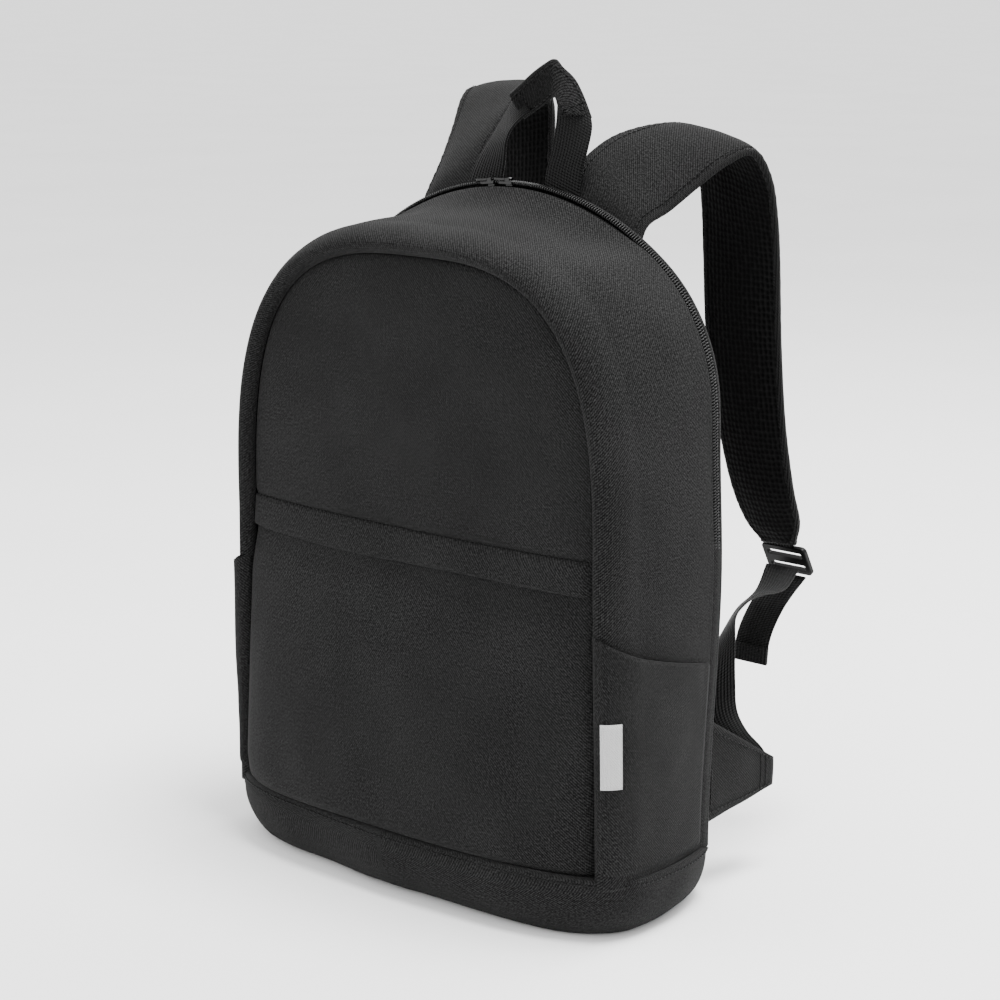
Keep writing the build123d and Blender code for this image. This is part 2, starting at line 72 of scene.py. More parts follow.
# ---- places read from the frame
PANEL_HIGH = node_mm("front_panel_upper")[1]
COIL_REAR_LOW = node_mm("main_zip_coil_rear")[0]
BACK_HIGH = node_mm("back_panel")[1]
FLAP_LOW, FLAP_HIGH = node_mm("pocket_flap")
ZIP_Y = (COIL_REAR_LOW[1] + node_mm("main_zip_coil_front")[1][1]) / 2
CROWN_Z = joint("main_zip_run_right")["pos_m"][2] * 1000  # centre of the zip's crown arc
CROWN_R = BACK_HIGH[2] - CROWN_Z
BACK_HALF = BACK_HIGH[0]
SHOULDER_R = 105.0  # radius of the zip line beside the crown
SEAM_Y = PANEL_HIGH[1]  # plane of the front seam
SEAM_TOP = PANEL_HIGH[2]
SEAM_HALF = 137.5  # half width of the front seam where its arch starts
SEAM_HALF_BASE = 141.0
ARCH_Z = 213.0  # the front arch starts at this height
BASE_SEAM = node_mm("base_band")[1][2]
FLAP_FOLD = FLAP_LOW[2]  # lower edge of the flap hem
FLAP_STITCH = FLAP_HIGH[2] + 5.0  # stitch line above the hem
BACK_FACE = BACK_HIGH[1]


# ---- mesh helpers
def smoothstep(x, low, high):
    t = np.clip((np.asarray(x, float) - low) / (high - low), 0, 1)
    return t * t * (3 - 2 * t)


def unit(vectors):
    """Vectors scaled to length one."""
    return vectors / np.maximum(np.linalg.norm(vectors, axis=-1, keepdims=True), 1e-9)


def run_length(points):
    """Distance along a polyline at each of its points."""
    return np.concatenate([[0], np.cumsum(np.linalg.norm(np.diff(points, axis=0), axis=1))])


def resample(points, count, closed=False):
    """Points spread evenly along a polyline."""
    p = np.asarray(points, float)
    if closed:
        p = np.vstack([p, p[:1]])
    along = run_length(p)
    want = np.linspace(0, along[-1], count + 1 if closed else count)
    if closed:
        want = want[:-1]
    return np.stack([np.interp(want, along, p[:, k]) for k in range(p.shape[1])], axis=1)


def smooth_path(points, per_span=12, closed=False):
    """Catmull-Rom curve through given points of any dimension."""
    p = np.asarray(points, float)
    n = len(p)
    if closed:
        ring = [p[(i + k) % n] for i in range(n) for k in (-1, 0, 1, 2)]
        spans = [ring[4 * i : 4 * i + 4] for i in range(n)]
    else:
        ext = np.vstack([2 * p[0] - p[1], p, 2 * p[-1] - p[-2]])
        spans = [ext[i : i + 4] for i in range(n - 1)]
    out = []
    for a, b, c, d in spans:
        for t in np.linspace(0, 1, per_span, endpoint=False):
            square = (2 * a - 5 * b + 4 * c - d) * t * t
            out.append(0.5 * (2 * b + (c - a) * t + square + (3 * b - a - 3 * c + d) * t**3))
    if not closed:
        out.append(p[-1])
    return np.array(out)


def mesh_object(name, points_mm, faces, uvs=None):
    """A smooth-shaded mesh object from millimetre points."""
    mesh = bpy.data.meshes.new(name)
    mesh.from_pydata([tuple(v) for v in np.asarray(points_mm) * MM], [], faces)
    if uvs is not None:
        layer = mesh.uv_layers.new(name="cloth")
        loops = np.array([v for f in faces for v in f])
        layer.data.foreach_set("uv", np.asarray(uvs, float)[loops].astype(np.float32).ravel())
    mesh.polygons.foreach_set("use_smooth", [True] * len(mesh.polygons))
    mesh.update()
    piece = bpy.data.objects.new(name, mesh)
    bpy.context.scene.collection.objects.link(piece)
    return piece


def grid_faces(rows, columns, wrap=False, offset=0):
    """Quads of a grid whose rows are joined, with the columns wrapped round if asked."""
    faces = []
    for r in range(rows - 1):
        for c in range(columns if wrap else columns - 1):
            d = (c + 1) % columns
            a = offset + r * columns
            b = a + columns
            faces.append((a + c, a + d, b + d, b + c))
    return faces


def cloth_uv(surface):
    """Cloth coordinates in metres for a grid, measured along its rows and columns."""
    s = np.asarray(surface)
    across = np.linalg.norm(np.diff(s, axis=1), axis=2)
    down = np.linalg.norm(np.diff(s, axis=0), axis=2)
    u = np.concatenate([np.zeros((s.shape[0], 1)), np.cumsum(across, axis=1)], axis=1)
    u = u - u[:, s.shape[1] // 2][:, None]
    v = np.concatenate([np.zeros((1, s.shape[1])), np.cumsum(down, axis=0)], axis=0)
    v = np.repeat(v.mean(axis=1)[:, None], s.shape[1], axis=1)
    return np.stack([u, v], axis=2).reshape(-1, 2) * MM


def apply_modifiers(piece):
    """Replace the piece's mesh by its evaluated one, so that no modifier is left."""
    bpy.context.view_layer.update()
    graph = bpy.context.evaluated_depsgraph_get()
    mesh = bpy.data.meshes.new_from_object(piece.evaluated_get(graph))
    piece.modifiers.clear()
    piece.data = mesh
    return piece


def thicken(piece, thickness, inward=True, even=True):
    """Give a sheet its thickness on one side."""
    solid = piece.modifiers.new("thickness", "SOLIDIFY")
    solid.thickness = thickness * MM
    solid.offset = -1.0 if inward else 1.0
    solid.use_quality_normals = even
    return apply_modifiers(piece)


def sheet_from_grid(name, surface, thickness, inward=True):
    """A cloth sheet over a grid of points, thickened on its inner side."""
    s = np.asarray(surface, float)
    piece = mesh_object(name, s.reshape(-1, 3), grid_faces(*s.shape[:2]), cloth_uv(s))
    return thicken(piece, thickness, inward)


def tidy_mesh(piece, axis=None, sign=1, merge=None, below=None):
    """Make the faces point outwards, or to one side of an axis, and join near points if asked."""
    work = bmesh.new()
    work.from_mesh(piece.data)
    if merge:
        bmesh.ops.remove_doubles(work, verts=work.verts, dist=merge)
    bmesh.ops.recalc_face_normals(work, faces=work.faces)
    if axis is not None:
        seen = [f for f in work.faces if below is None or f.calc_center_median().z < below]
        if sign * sum(f.normal[axis] * f.calc_area() for f in seen) < 0:
            bmesh.ops.reverse_faces(work, faces=work.faces)
    work.to_mesh(piece.data)
    work.free()


def ring_faces(rows, columns):
    """Quads of a tube given ring by ring, with a face over each end."""
    last = (rows - 1) * columns
    ends = [tuple(range(columns - 1, -1, -1)), tuple(last + j for j in range(columns))]
    return grid_faces(rows, columns, wrap=True) + ends


def wobble(points, scale, amount, seed):
    """Slow, repeatable unevenness for a set of points, one value each, in millimetres."""
    shift = Vector((seed * 7.3, seed * 3.1, seed * 5.7))
    flat = np.asarray(points, float).reshape(-1, 3)
    values = [noise.noise(Vector(p) / scale + shift) for p in flat]
    return np.array(values).reshape(np.asarray(points).shape[:-1]) * amount


def normals_of(surface):
    """Unit normals of a grid of points."""
    s = np.asarray(surface, float)
    return unit(np.cross(np.gradient(s, axis=1), np.gradient(s, axis=0)))


def tube_along(points, radius, sides, closed=False):
    """Vertices and faces of a round tube along points, closed into a ring or capped."""
    p = np.asarray(points, float)
    n = len(p)
    tangents = unit(np.roll(p, -1, 0) - np.roll(p, 1, 0) if closed else np.gradient(p, axis=0))
    side = np.cross(tangents[0], (0.0, 0.0, 1.0))
    if np.linalg.norm(side) < 0.1:
        side = np.cross(tangents[0], (1.0, 0.0, 0.0))
    verts = []
    for k in range(n):
        side = side - tangents[k] * np.dot(side, tangents[k])
        side /= np.linalg.norm(side)
        up = np.cross(tangents[k], side)
        for j in range(sides):
            a = 2 * pi * j / sides
            verts.append(p[k] + radius * (cos(a) * side + sin(a) * up))
    faces = ring_faces(n, sides)
    if closed:
        last = (n - 1) * sides
        faces[-2:] = [(last + j, last + (j + 1) % sides, (j + 1) % sides, j) for j in range(sides)]
    return np.array(verts), faces


class Parts:
    """Collects several small closed bodies into one mesh."""

    def __init__(self):
        self.verts, self.faces, self.count = [], [], 0

    def add(self, verts, faces):
        self.verts.append(np.asarray(verts, float))
        self.faces += [tuple(i + self.count for i in f) for f in faces]
        self.count += len(verts)

    def build(self, name):
        return mesh_object(name, np.vstack(self.verts), self.faces)


def stitch_line(parts, path, normals, length=2.6, gap=1.1, radius=0.34):
    """A row of thread stitches lying on a seam: each dips into the cloth at both ends."""
    along = run_length(path)
    total = along[-1]
    count = max(int(total / (length + gap)), 1)
    for k in range(count):
        start = (k + 0.5) * total / count - length / 2
        where = start + np.array([0.0, 0.18, 0.5, 0.82, 1.0]) * length
        rise = np.array([-0.25, 0.12, 0.22, 0.12, -0.25])
        thread = np.stack([np.interp(where, along, path[:, i]) for i in range(3)], axis=1)
        lift = np.stack([np.interp(where, along, normals[:, i]) for i in range(3)], axis=1)
        parts.add(*tube_along(thread + lift * rise[:, None], radius, sides=5))


# ---- material helpers
class Look:
    """A node material under construction."""

    def __init__(self, name, roughness=None, gloss=None, sheen=None, coat=None):
        self.material = bpy.data.materials.new(name)
        self.material.use_nodes = True
        self.nodes = self.material.node_tree.nodes
        self.links = self.material.node_tree.links
        self.shader = self.nodes["Principled BSDF"]
        sockets = ("Roughness", "Specular IOR Level", "Sheen Weight", "Coat Weight")
        for socket, value in zip(sockets, (roughness, gloss, sheen, coat)):
            if value is not None:
                self.shader.inputs[socket].default_value = value

    def set(self, socket, output):
        self.links.new(output, self.shader.inputs[socket])

    def cloth(self):
        """The piece's own cloth coordinates, in metres."""
        node = self.nodes.new("ShaderNodeUVMap")
        node.uv_map = "cloth"
        return node.outputs["UV"]

    def place(self):
        return self.nodes.new("ShaderNodeTexCoord").outputs["Object"]

    def across_and_along(self, vector):
        node = self.nodes.new("ShaderNodeSeparateXYZ")
        self.links.new(vector, node.inputs[0])
        return node.outputs["X"], node.outputs["Y"]

    def math(self, operation, a, b=None):
        node = self.nodes.new("ShaderNodeMath")
        node.operation = operation
        for index, value in enumerate((a, b)):
            if isinstance(value, (int, float)):
                node.inputs[index].default_value = value
            elif value is not None:
                self.links.new(value, node.inputs[index])
        return node.outputs[0]

    def plus(self, a, b, factor=1.0):
        """a + b * factor"""
        return self.math("ADD", a, b if factor == 1.0 else self.math("MULTIPLY", b, factor))

    def noise(self, vector, scale, detail, roughness=0.55):
        node = self.nodes.new("ShaderNodeTexNoise")
        node.inputs["Scale"].default_value = scale
        node.inputs["Detail"].default_value = detail
        node.inputs["Roughness"].default_value = roughness
        self.links.new(vector, node.inputs["Vector"])
        return node.outputs["Fac"]

    def colour(self, value, *stops):
        """Base colour from a value, through greys given as (position, grey)."""
        ramp = self.nodes.new("ShaderNodeValToRGB")
        elements = ramp.color_ramp.elements
        for element, (position, tone) in zip(elements, (stops[0], stops[-1])):
            element.position = position
            element.color = (tone, tone, tone, 1)
        for position, tone in stops[1:-1]:
            elements.new(position).color = (tone, tone, tone, 1)
        self.links.new(value, ramp.inputs["Fac"])
        self.set("Base Color", ramp.outputs["Color"])

    def relief(self, height, strength, distance):
        """Fine bump under the shape that geometry already gives."""
        node = self.nodes.new("ShaderNodeBump")
        node.inputs["Strength"].default_value = strength
        node.inputs["Distance"].default_value = distance
        self.links.new(height, node.inputs["Height"])
        self.set("Normal", node.outputs["Normal"])


def turns_per(pitch):
    """Radians of a wave per metre, from its pitch in millimetres."""
    return 2 * pi / (pitch * MM)


def twill_canvas(name, dark, light, pitch=1.8):
    """Black cotton twill: diagonal ribs of alternating threads, heathered, with slight fading."""
    look = Look(name, gloss=0.06, sheen=0.02)
    look.shader.inputs["Sheen Roughness"].default_value = 0.45
    cloth = look.cloth()
    across, along = look.across_and_along(cloth)
    warp = look.math("MULTIPLY", across, turns_per(pitch))
    weft = look.math("MULTIPLY", along, turns_per(pitch))
    diagonal = look.plus(look.plus(warp, weft), look.noise(cloth, 900, 2), 1.6)
    cross = look.math("SINE", look.math("MULTIPLY", warp, 2.0))
    weave = look.plus(look.math("SINE", diagonal), cross, 0.45)
    fleck = look.noise(cloth, 760, 4, 0.75)
    tone = look.plus(look.math("MULTIPLY", weave, 0.07), fleck, 0.9)
    tone = look.plus(tone, look.noise(cloth, 14, 4), 0.12)
    look.colour(tone, (0.40, dark), (0.52, (dark + light) * 0.35), (0.66, light))
    look.set("Roughness", look.plus(0.80, fleck, 0.12))
    look.relief(look.plus(weave, fleck, 1.2), 0.35, 0.00035)
    return look.material


def ribbed_webbing(name, dark, light, ribs=2.2, picks=1.8):
    """Webbing: lengthwise ribs crossed by fine picks."""
    look = Look(name, roughness=0.62, gloss=0.10, sheen=0.01)
    cloth = look.cloth()
    across, along = look.across_and_along(cloth)
    across = look.math("MULTIPLY", across, turns_per(ribs))
    along = look.math("MULTIPLY", along, turns_per(picks))
    pick = look.math("SINE", look.plus(along, across, 0.5))
    weave = look.plus(look.math("SINE", across), pick, 0.6)
    tone = look.plus(look.noise(cloth, 1200, 2), weave, 0.2)
    look.colour(tone, (0.2, dark), (0.9, light))
    look.relief(weave, 0.8, 0.0004)
    return look.material


def air_mesh(name):
    """Spacer mesh: staggered open cells between raised knit lines, with painted shade darkening each open
    cell.
    """
    look = Look(name, gloss=0.06)
    cloth = look.cloth()
    squash = look.nodes.new("ShaderNodeMapping")
    squash.inputs["Scale"].default_value = (1.0, 0.8, 1.0)
    look.links.new(cloth, squash.inputs["Vector"])
    cells = look.nodes.new("ShaderNodeTexVoronoi")
    cells.voronoi_dimensions = "2D"
    cells.inputs["Scale"].default_value = 330
    cells.inputs["Randomness"].default_value = 0.25
    look.links.new(squash.outputs["Vector"], cells.inputs["Vector"])
    hole = cells.outputs["Distance"]
    # The colour darkens towards the middle of each open cell: painted shade inside the holes.
    look.colour(hole, (0.18, 0.0003), (0.42, 0.002), (0.7, 0.005))
    look.set("Roughness", look.plus(0.65, look.noise(cloth, 1600, 2), 0.2))
    look.relief(hole, 1.0, 0.0012)
    return look.material


def moulded(name, tone, rough, gloss, grain=500.0, bump=0.15, coat=0.0):
    """Moulded plastic or enamelled metal with a fine surface grain and slightly uneven gloss."""
    look = Look(name, gloss=gloss, coat=coat)
    place = look.place()
    fine = look.noise(place, grain, 3)
    look.colour(look.noise(place, 60, 2), (0.3, tone * 0.8), (0.7, tone * 1.3))
    look.set("Roughness", look.plus(rough - 0.08, fine, 0.16))
    look.relief(fine, bump, 0.0002)
    return look.material


def thread_material(name, tone):
    """Twisted sewing thread with a slight shine."""
    look = Look(name, roughness=0.5, gloss=0.1, sheen=0.01)
    twist = look.nodes.new("ShaderNodeTexWave")
    twist.inputs["Scale"].default_value = 900
    twist.inputs["Distortion"].default_value = 1.0
    look.links.new(look.place(), twist.inputs["Vector"])
    look.colour(twist.outputs["Fac"], (0.2, tone * 0.6), (0.8, tone * 1.3))
    return look.material


def plain_matte(name, scale, detail, low, high, gloss=None):
    """Slightly clouded matte surface from object coordinates; low and high are ramp stops."""
    look = Look(name, roughness=0.9, gloss=gloss)
    look.colour(look.noise(look.place(), scale, detail), low, high)
    return look.material


CANVAS = twill_canvas("canvas_twill", 0.0006, 0.0235)
CANVAS_SOFT = twill_canvas("canvas_strap", 0.0006, 0.0205)
WEBBING = ribbed_webbing("ribbed_webbing", 0.001, 0.009)
TAPE = ribbed_webbing("zip_tape", 0.001, 0.007, ribs=0.8)
BINDING = ribbed_webbing("edge_binding", 0.001, 0.008, ribs=2.4)
MESH = air_mesh("air_mesh")
COIL = moulded("nylon_coil", 0.004, 0.36, 0.22, bump=0.1)
ENAMEL = moulded("black_enamel", 0.002, 0.20, 0.3, grain=900.0, bump=0.05, coat=0.15)
LOCK = moulded("lock_plastic", 0.002, 0.42, 0.12)
THREAD = thread_material("thread", 0.005)
LABEL_CLOTH = ribbed_webbing("label_cloth", 0.42, 0.72, ribs=0.7)
CANVAS_NODE = plain_matte("canvas_hidden", 1400, 3, (0.3, 0.006), (0.8, 0.02))


def on_bag(piece):
    """Cloth below the zip's ends and on the opening shell above them: bakes its placement into its mesh, on
    no body.
    """
    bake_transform(piece)


def finish(piece, material, replaced=(), body="bag"):
    """Give a piece its material, slot, replaced nodes and body; "bend" only bakes its placement into its
    mesh.
    """
    piece.data.materials.clear()
    piece.data.materials.append(material)
    if replaced:
        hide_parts(*replaced)
    if body == "bend":
        on_bag(piece)
    elif body:
        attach(piece, body)
    return piece


# ---- outlines of the bag
def mirrored_arch(side, half, count):
    """Outline from the left foot to the right one, from its right side and right half arch."""
    arch = resample(np.vstack([half, (half * [-1, 1])[::-1][1:]]), count)
    return np.vstack([side, arch, (side * [-1, 1])[::-1]])[::-1]


def front_seam(foot, count_side, count_arch):
    """Front seam in the XZ plane from the left foot over the arch to the right foot."""
    z = np.linspace(foot, ARCH_Z, count_side, endpoint=False)
    side = np.stack([seam_half(z), z], axis=1)
    power = 2.0 / 3.0
    angle = np.linspace(0, pi / 2, 400)
    rise = ARCH_Z + (SEAM_TOP - ARCH_Z) * np.sin(angle) ** power
    arch = np.stack([SEAM_HALF * np.cos(angle) ** power, rise], axis=1)
    return mirrored_arch(side, arch, count_arch)


def back_edge(foot, count_side, count_arch):
    """Zip line in the XZ plane: the sliders' crown arc, two shoulders and slightly full sides."""
    centre_x = BACK_HALF - SHOULDER_R
    reach = CROWN_R - SHOULDER_R
    centre_z = CROWN_Z + (reach**2 - centre_x**2) ** 0.5
    lean = atan2(centre_z - CROWN_Z, centre_x)
    z = np.linspace(foot, ARCH_Z, count_side, endpoint=False)
    upper_z = np.linspace(ARCH_Z, centre_z, 40, endpoint=False)

    def side_x(height):
        full = 3.5 * np.exp(-(((height - 200) / 62) ** 2))
        narrow = 2.5 * (1 - smoothstep(height, 40, 150))
        return BACK_HALF + full - narrow

    side = np.stack([side_x(z), z], axis=1)
    upper = np.stack([side_x(upper_z), upper_z], axis=1)
    turn = np.linspace(0, lean, 60, endpoint=False)
    shoulder = np.stack([centre_x + SHOULDER_R * np.cos(turn), centre_z + SHOULDER_R * np.sin(turn)], axis=1)
    turn = np.linspace(lean, pi / 2, 80)
    crown = np.stack([CROWN_R * np.cos(turn), CROWN_Z + CROWN_R * np.sin(turn)], axis=1)
    return mirrored_arch(side, np.vstack([upper, shoulder, crown]), count_arch)


def seam_half(z):
    """Half width of the front seam below its arch."""
    return SEAM_HALF_BASE + (SEAM_HALF - SEAM_HALF_BASE) * (z - BASE_SEAM) / (ARCH_Z - BASE_SEAM)


def outward(curve):
    """Unit normals pointing out of an arch outline that runs from left foot to right foot."""
    t = np.gradient(curve, axis=0)
    return unit(np.stack([-t[:, 1], t[:, 0]], axis=1))


def bulge_share(x, z):
    """1 in the middle of the front, falling to 0 at its seam."""
    half = np.where(z > ARCH_Z, SEAM_HALF, seam_half(z))
    rise = np.clip((z - ARCH_Z) / (SEAM_TOP - ARCH_Z), 0, 1)
    level = np.clip((np.abs(x) / half) ** 3 + rise**3, 0, 1)
    full_left = smoothstep(-x, 0, 60) * (1 - smoothstep(z, 170, 225)) * smoothstep(z, 20, 62)
    return (1 - level ** (0.73 + 0.75 * full_left)) ** (0.6 - 0.12 * full_left)


def bulge_depth(z):
    """How far the middle of the front stands out from the seam's plane."""
    return np.interp(z, [0, 42, 120, 203, 222, 280, 340, 383], [36, 34, 26, 14, 10.5, 9, 8, 6])


# ---- outer surface of the walls
COLUMNS_SIDE = 44
COLUMNS_ARCH = 150
FRONT = front_seam(BASE_SEAM - 9, COLUMNS_SIDE, COLUMNS_ARCH)
REAR = back_edge(BASE_SEAM - 9, COLUMNS_SIDE, COLUMNS_ARCH)
FRONT_OUT = outward(FRONT)
GUSSET_EDGE = ZIP_Y - 4.0  # where the cloth ends and the zip tape shows
CORNER_OUT = 10.0
CORNER_Y = -27.0


def gusset_section():
    """Section of the wall: (share of the way from seam to zip, out from the seam, y)."""
    seam = [(0, 0.0, SEAM_Y), (0, 0.9, SEAM_Y - 3.2), (0, 2.4, SEAM_Y - 5.6)]
    turn = np.radians(np.linspace(-84, 0, 16))
    corner = [(0, 4 + CORNER_OUT * cos(a), CORNER_Y + 24.5 * sin(a)) for a in turn]
    run = np.linspace(0, 1, 22)[1:]
    flat = [(s, 4 + CORNER_OUT, CORNER_Y + (GUSSET_EDGE - CORNER_Y) * s) for s in run]
    return seam + corner + flat


SECTION = gusset_section()


WALL_STEP = 14.0  # the wall stands this far out from the front seam
WALL_BULGE = 2.2
CROWN_SAG = 5.0
CROWN_DROP = 3.2  # the wall's rear edge hangs this much below the zip at the crown


def wall_bulge(share, normal):
    """The wall's sides stand out a little, while its crown sags in front of the zip."""
    crown = smoothstep(normal[1], 0.78, 0.98)
    sag = CROWN_SAG * sin(pi * share**1.8) + CROWN_DROP * share
    return WALL_BULGE * (1 - crown) * sin(pi * share) - crown * sag


def wall_place(seam, rear, normal, share, out):
    """Place in the XZ plane on the wall, from its seam point, zip point and outward normal."""
    if share == 0:
        return seam + normal * out
    start = seam + normal * WALL_STEP
    return start * (1 - share) + rear * share + normal * wall_bulge(share, normal)


def gusset_grid():
    """Points of the wall's outer face, one row for each arch column."""
    rows = []
    for seam, rear, normal in zip(FRONT, REAR, FRONT_OUT):
        row = []
        for share, out, y in SECTION:
            p = wall_place(seam, rear, normal, share, out)
            row.append((p[0], y, p[1]))
        rows.append(row)
    return np.array(rows)


def make_gusset():
    grid = gusset_grid()
    steps = np.arange(grid.shape[1])
    hold = smoothstep(steps, 3, 14) * (1 - smoothstep(steps, 30, len(SECTION) - 2))
    amount = (wobble(grid, 85, 1.5, 3) + wobble(grid, 26, 0.45, 14)) * hold[None, :]
    grid = grid + normals_of(grid) * amount[..., None]
    inward_fold = grid[:, -1:] - np.array([0, -0.6, 0])
    grid = np.concatenate([grid, inward_fold], axis=1)
    piece = sheet_from_grid("body_gusset", grid, 1.4)
    replaced = ["upper_gusset", "lower_gusset_right", "lower_gusset_left"]
    finish(piece, CANVAS, replaced, body="bend")
    return grid


def half_width(z):
    """Half width of the front at a height."""
    rise = np.clip((z - ARCH_Z) / (SEAM_TOP - ARCH_Z), 0, 1)
    return np.where(z > ARCH_Z, SEAM_HALF * (1 - rise**3) ** (1 / 3), seam_half(z))


def face_y(x, z):
    """Depth of the front's surface at a place on it."""
    return SEAM_Y - bulge_depth(z) * bulge_share(x, z)


SINK_REACH = 4.0
SINK_DEPTH = 1.8


def sink_at_seam(x, z):
    """Cloth dives into the seam within a few millimetres of it."""
    room = half_width(z) - np.abs(x)
    return SINK_DEPTH * (1 - smoothstep(room, 0, SINK_REACH))


def front_uv(points):
    """Cloth coordinates of upright pieces, straight from X and Z."""
    return np.stack([points[:, 0], points[:, 2]], axis=1) * MM


def front_sheet(name, grid, thickness, replaced):
    """Cloth over a grid on the front of the bag."""
    flat = grid.reshape(-1, 3)
    piece = mesh_object(name, flat, grid_faces(*grid.shape[:2]), front_uv(flat))
    tidy_mesh(piece, axis=1, sign=-1, merge=0.00002)
    thicken(piece, thickness, even=False)
    return finish(piece, CANVAS, replaced, body=None)


def make_upper_front():
    """Upper front panel, from the flap's stitch line up to the arch seam."""
    arch = np.array([p for p in FRONT if p[1] >= FLAP_STITCH])
    share = np.linspace(0, 1, len(arch))
    w = float(half_width(np.array(FLAP_STITCH)))
    bottom_x = -w * np.cos(pi * share)
    rows = []
    for r in np.linspace(0, 1, 60):
        x = bottom_x * (1 - r) + arch[:, 0] * r
        z = FLAP_STITCH * (1 - r) + arch[:, 1] * r
        y = face_y(x, z) + sink_at_seam(x, z)
        dip = 1.4 * np.exp(-((z - FLAP_STITCH) ** 2) / 8.0)
        rows.append(np.stack([x, y + dip, z], axis=1))
    grid = np.array(rows)
    hold = smoothstep(grid[..., 2], FLAP_STITCH + 3, FLAP_STITCH + 30)
    room = half_width(grid[..., 2]) - np.abs(grid[..., 0])
    hold = hold * smoothstep(room, 3, 25) * (1 - smoothstep(grid[..., 2], SEAM_TOP - 25, SEAM_TOP - 3))
    push = wobble(grid, 70, 1.8, 21) + wobble(grid, 24, 0.6, 22)
    grid[..., 1] += push * hold
    on_bag(front_sheet("front_panel", grid, 1.4, ["front_panel_upper"]))


def make_flap():
    """Hem of the upper front: stitched across, puffed, then folded back behind itself."""
    profile = [
        (FLAP_STITCH, -1.2), (FLAP_STITCH - 2, 0.8), (FLAP_STITCH - 5, 2.1), (FLAP_STITCH - 10, 2.7),
        (FLAP_FOLD + 5, 2.8), (FLAP_FOLD + 2, 2.5), (FLAP_FOLD + 0.5, 1.6), (FLAP_FOLD, 0.4),
        (FLAP_FOLD + 0.6, -0.8), (FLAP_FOLD + 3, -1.5), (FLAP_FOLD + 7, -1.7),
    ]
    profile = smooth_path(profile, 4)
    rows = []
    for z, out in profile:
        w = float(half_width(np.array(z))) - 0.3
        x = np.linspace(-w, w, 120)
        fold = wobble(np.stack([x, x * 0, x * 0 + z * 0.6], axis=1), 34, 0.9, 31)
        loose = 0.45 + 0.55 * smoothstep(x, -60, 110)
        ends = 1 - 0.8 * (1 - smoothstep(w - np.abs(x), 0, 6))
        y = face_y(x, np.full_like(x, max(z, FLAP_FOLD))) - out * ends * (loose if out > 0 else 1.0)
        y = y - fold * 0.5 + sink_at_seam(x, np.full_like(x, z)) * 0.6
        sag = 0.8 * np.sin(x / 31.0) * smoothstep(FLAP_STITCH - z, 2, 14)
        rows.append(np.stack([x, y, z + sag], axis=1))
    piece = front_sheet("flap_hem", np.array(rows), 0.9, ["pocket_flap"])
    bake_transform(piece)


def base_seam_z(y):
    """Height of the seam above the base: lower towards the back of the sides."""
    return np.interp(y, [-78, -46, -20, 54], [BASE_SEAM, BASE_SEAM - 3, BASE_SEAM - 5, BASE_SEAM - 8])


def make_pocket_panel():
    """Front of the pocket, from the base seam to just behind the flap."""
    rows = []
    top = FLAP_FOLD + 9
    for v in np.linspace(0, 1, 90):
        columns = []
        for u in np.linspace(-1, 1, 130):
            foot = BASE_SEAM - 4 * abs(u) ** 3
            z = foot + (top - foot) * v
            x = float(half_width(np.array(z))) * u
            y = face_y(x, z) + sink_at_seam(x, z) + 2.5 * smoothstep(z, FLAP_FOLD - 30, FLAP_FOLD + 3)
            y += 2.6 * np.exp(-((z - foot) ** 2) / 7.0)
            columns.append((x, y, z))
        rows.append(columns)
    grid = np.array(rows)
    z = grid[..., 2]
    room = half_width(z) - np.abs(grid[..., 0])
    hold = smoothstep(z, BASE_SEAM + 2, BASE_SEAM + 22) * smoothstep(room, 3, 22)
    hold = hold * (1 - smoothstep(z, FLAP_FOLD - 12, FLAP_FOLD + 2))
    push = wobble(grid, 75, 2.4, 41) + wobble(grid * [1, 1, 0.6], 22, 0.7, 42)
    grid[..., 1] += push * hold
    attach(front_sheet("pocket_panel", grid, 1.4, ["front_pocket_panel"]), "bag")


# Widest outline of the base in millimetres, from the middle of its front to that of its rear.
BASE_PLAN_HALF = [
    (0, -78), (27, -76.8), (53, -74.5), (96, -70), (126, -62), (147, -50), (156, -37), (159, -22),
    (159, 0), (156.5, 22), (151, 42), (144, 53), (136, 57), (100, 57), (50, 57), (0, 57),
]
# Outline on the floor, point for point under the plan above.
BASE_FLOOR_HALF = [
    (0, -55), (24, -55), (48, -54.5), (88, -52.5), (108, -50), (122, -45), (133, -37), (141, -26),
    (143, -4), (140, 18), (134, 38), (128, 48), (120, 53), (92, 55), (46, 55), (0, 55),
]


BASE_POINTS = 240
FLOOR_RING = 21  # the ring where the base meets the floor
SEAM_RING = 5  # the ring that carries the stitches


def base_outline(half):
    half = np.array(half, float)
    loop = np.vstack([half, (half * [-1, 1])[::-1][1:-1]])
    return smooth_path(loop, BASE_POINTS // len(loop), closed=True)


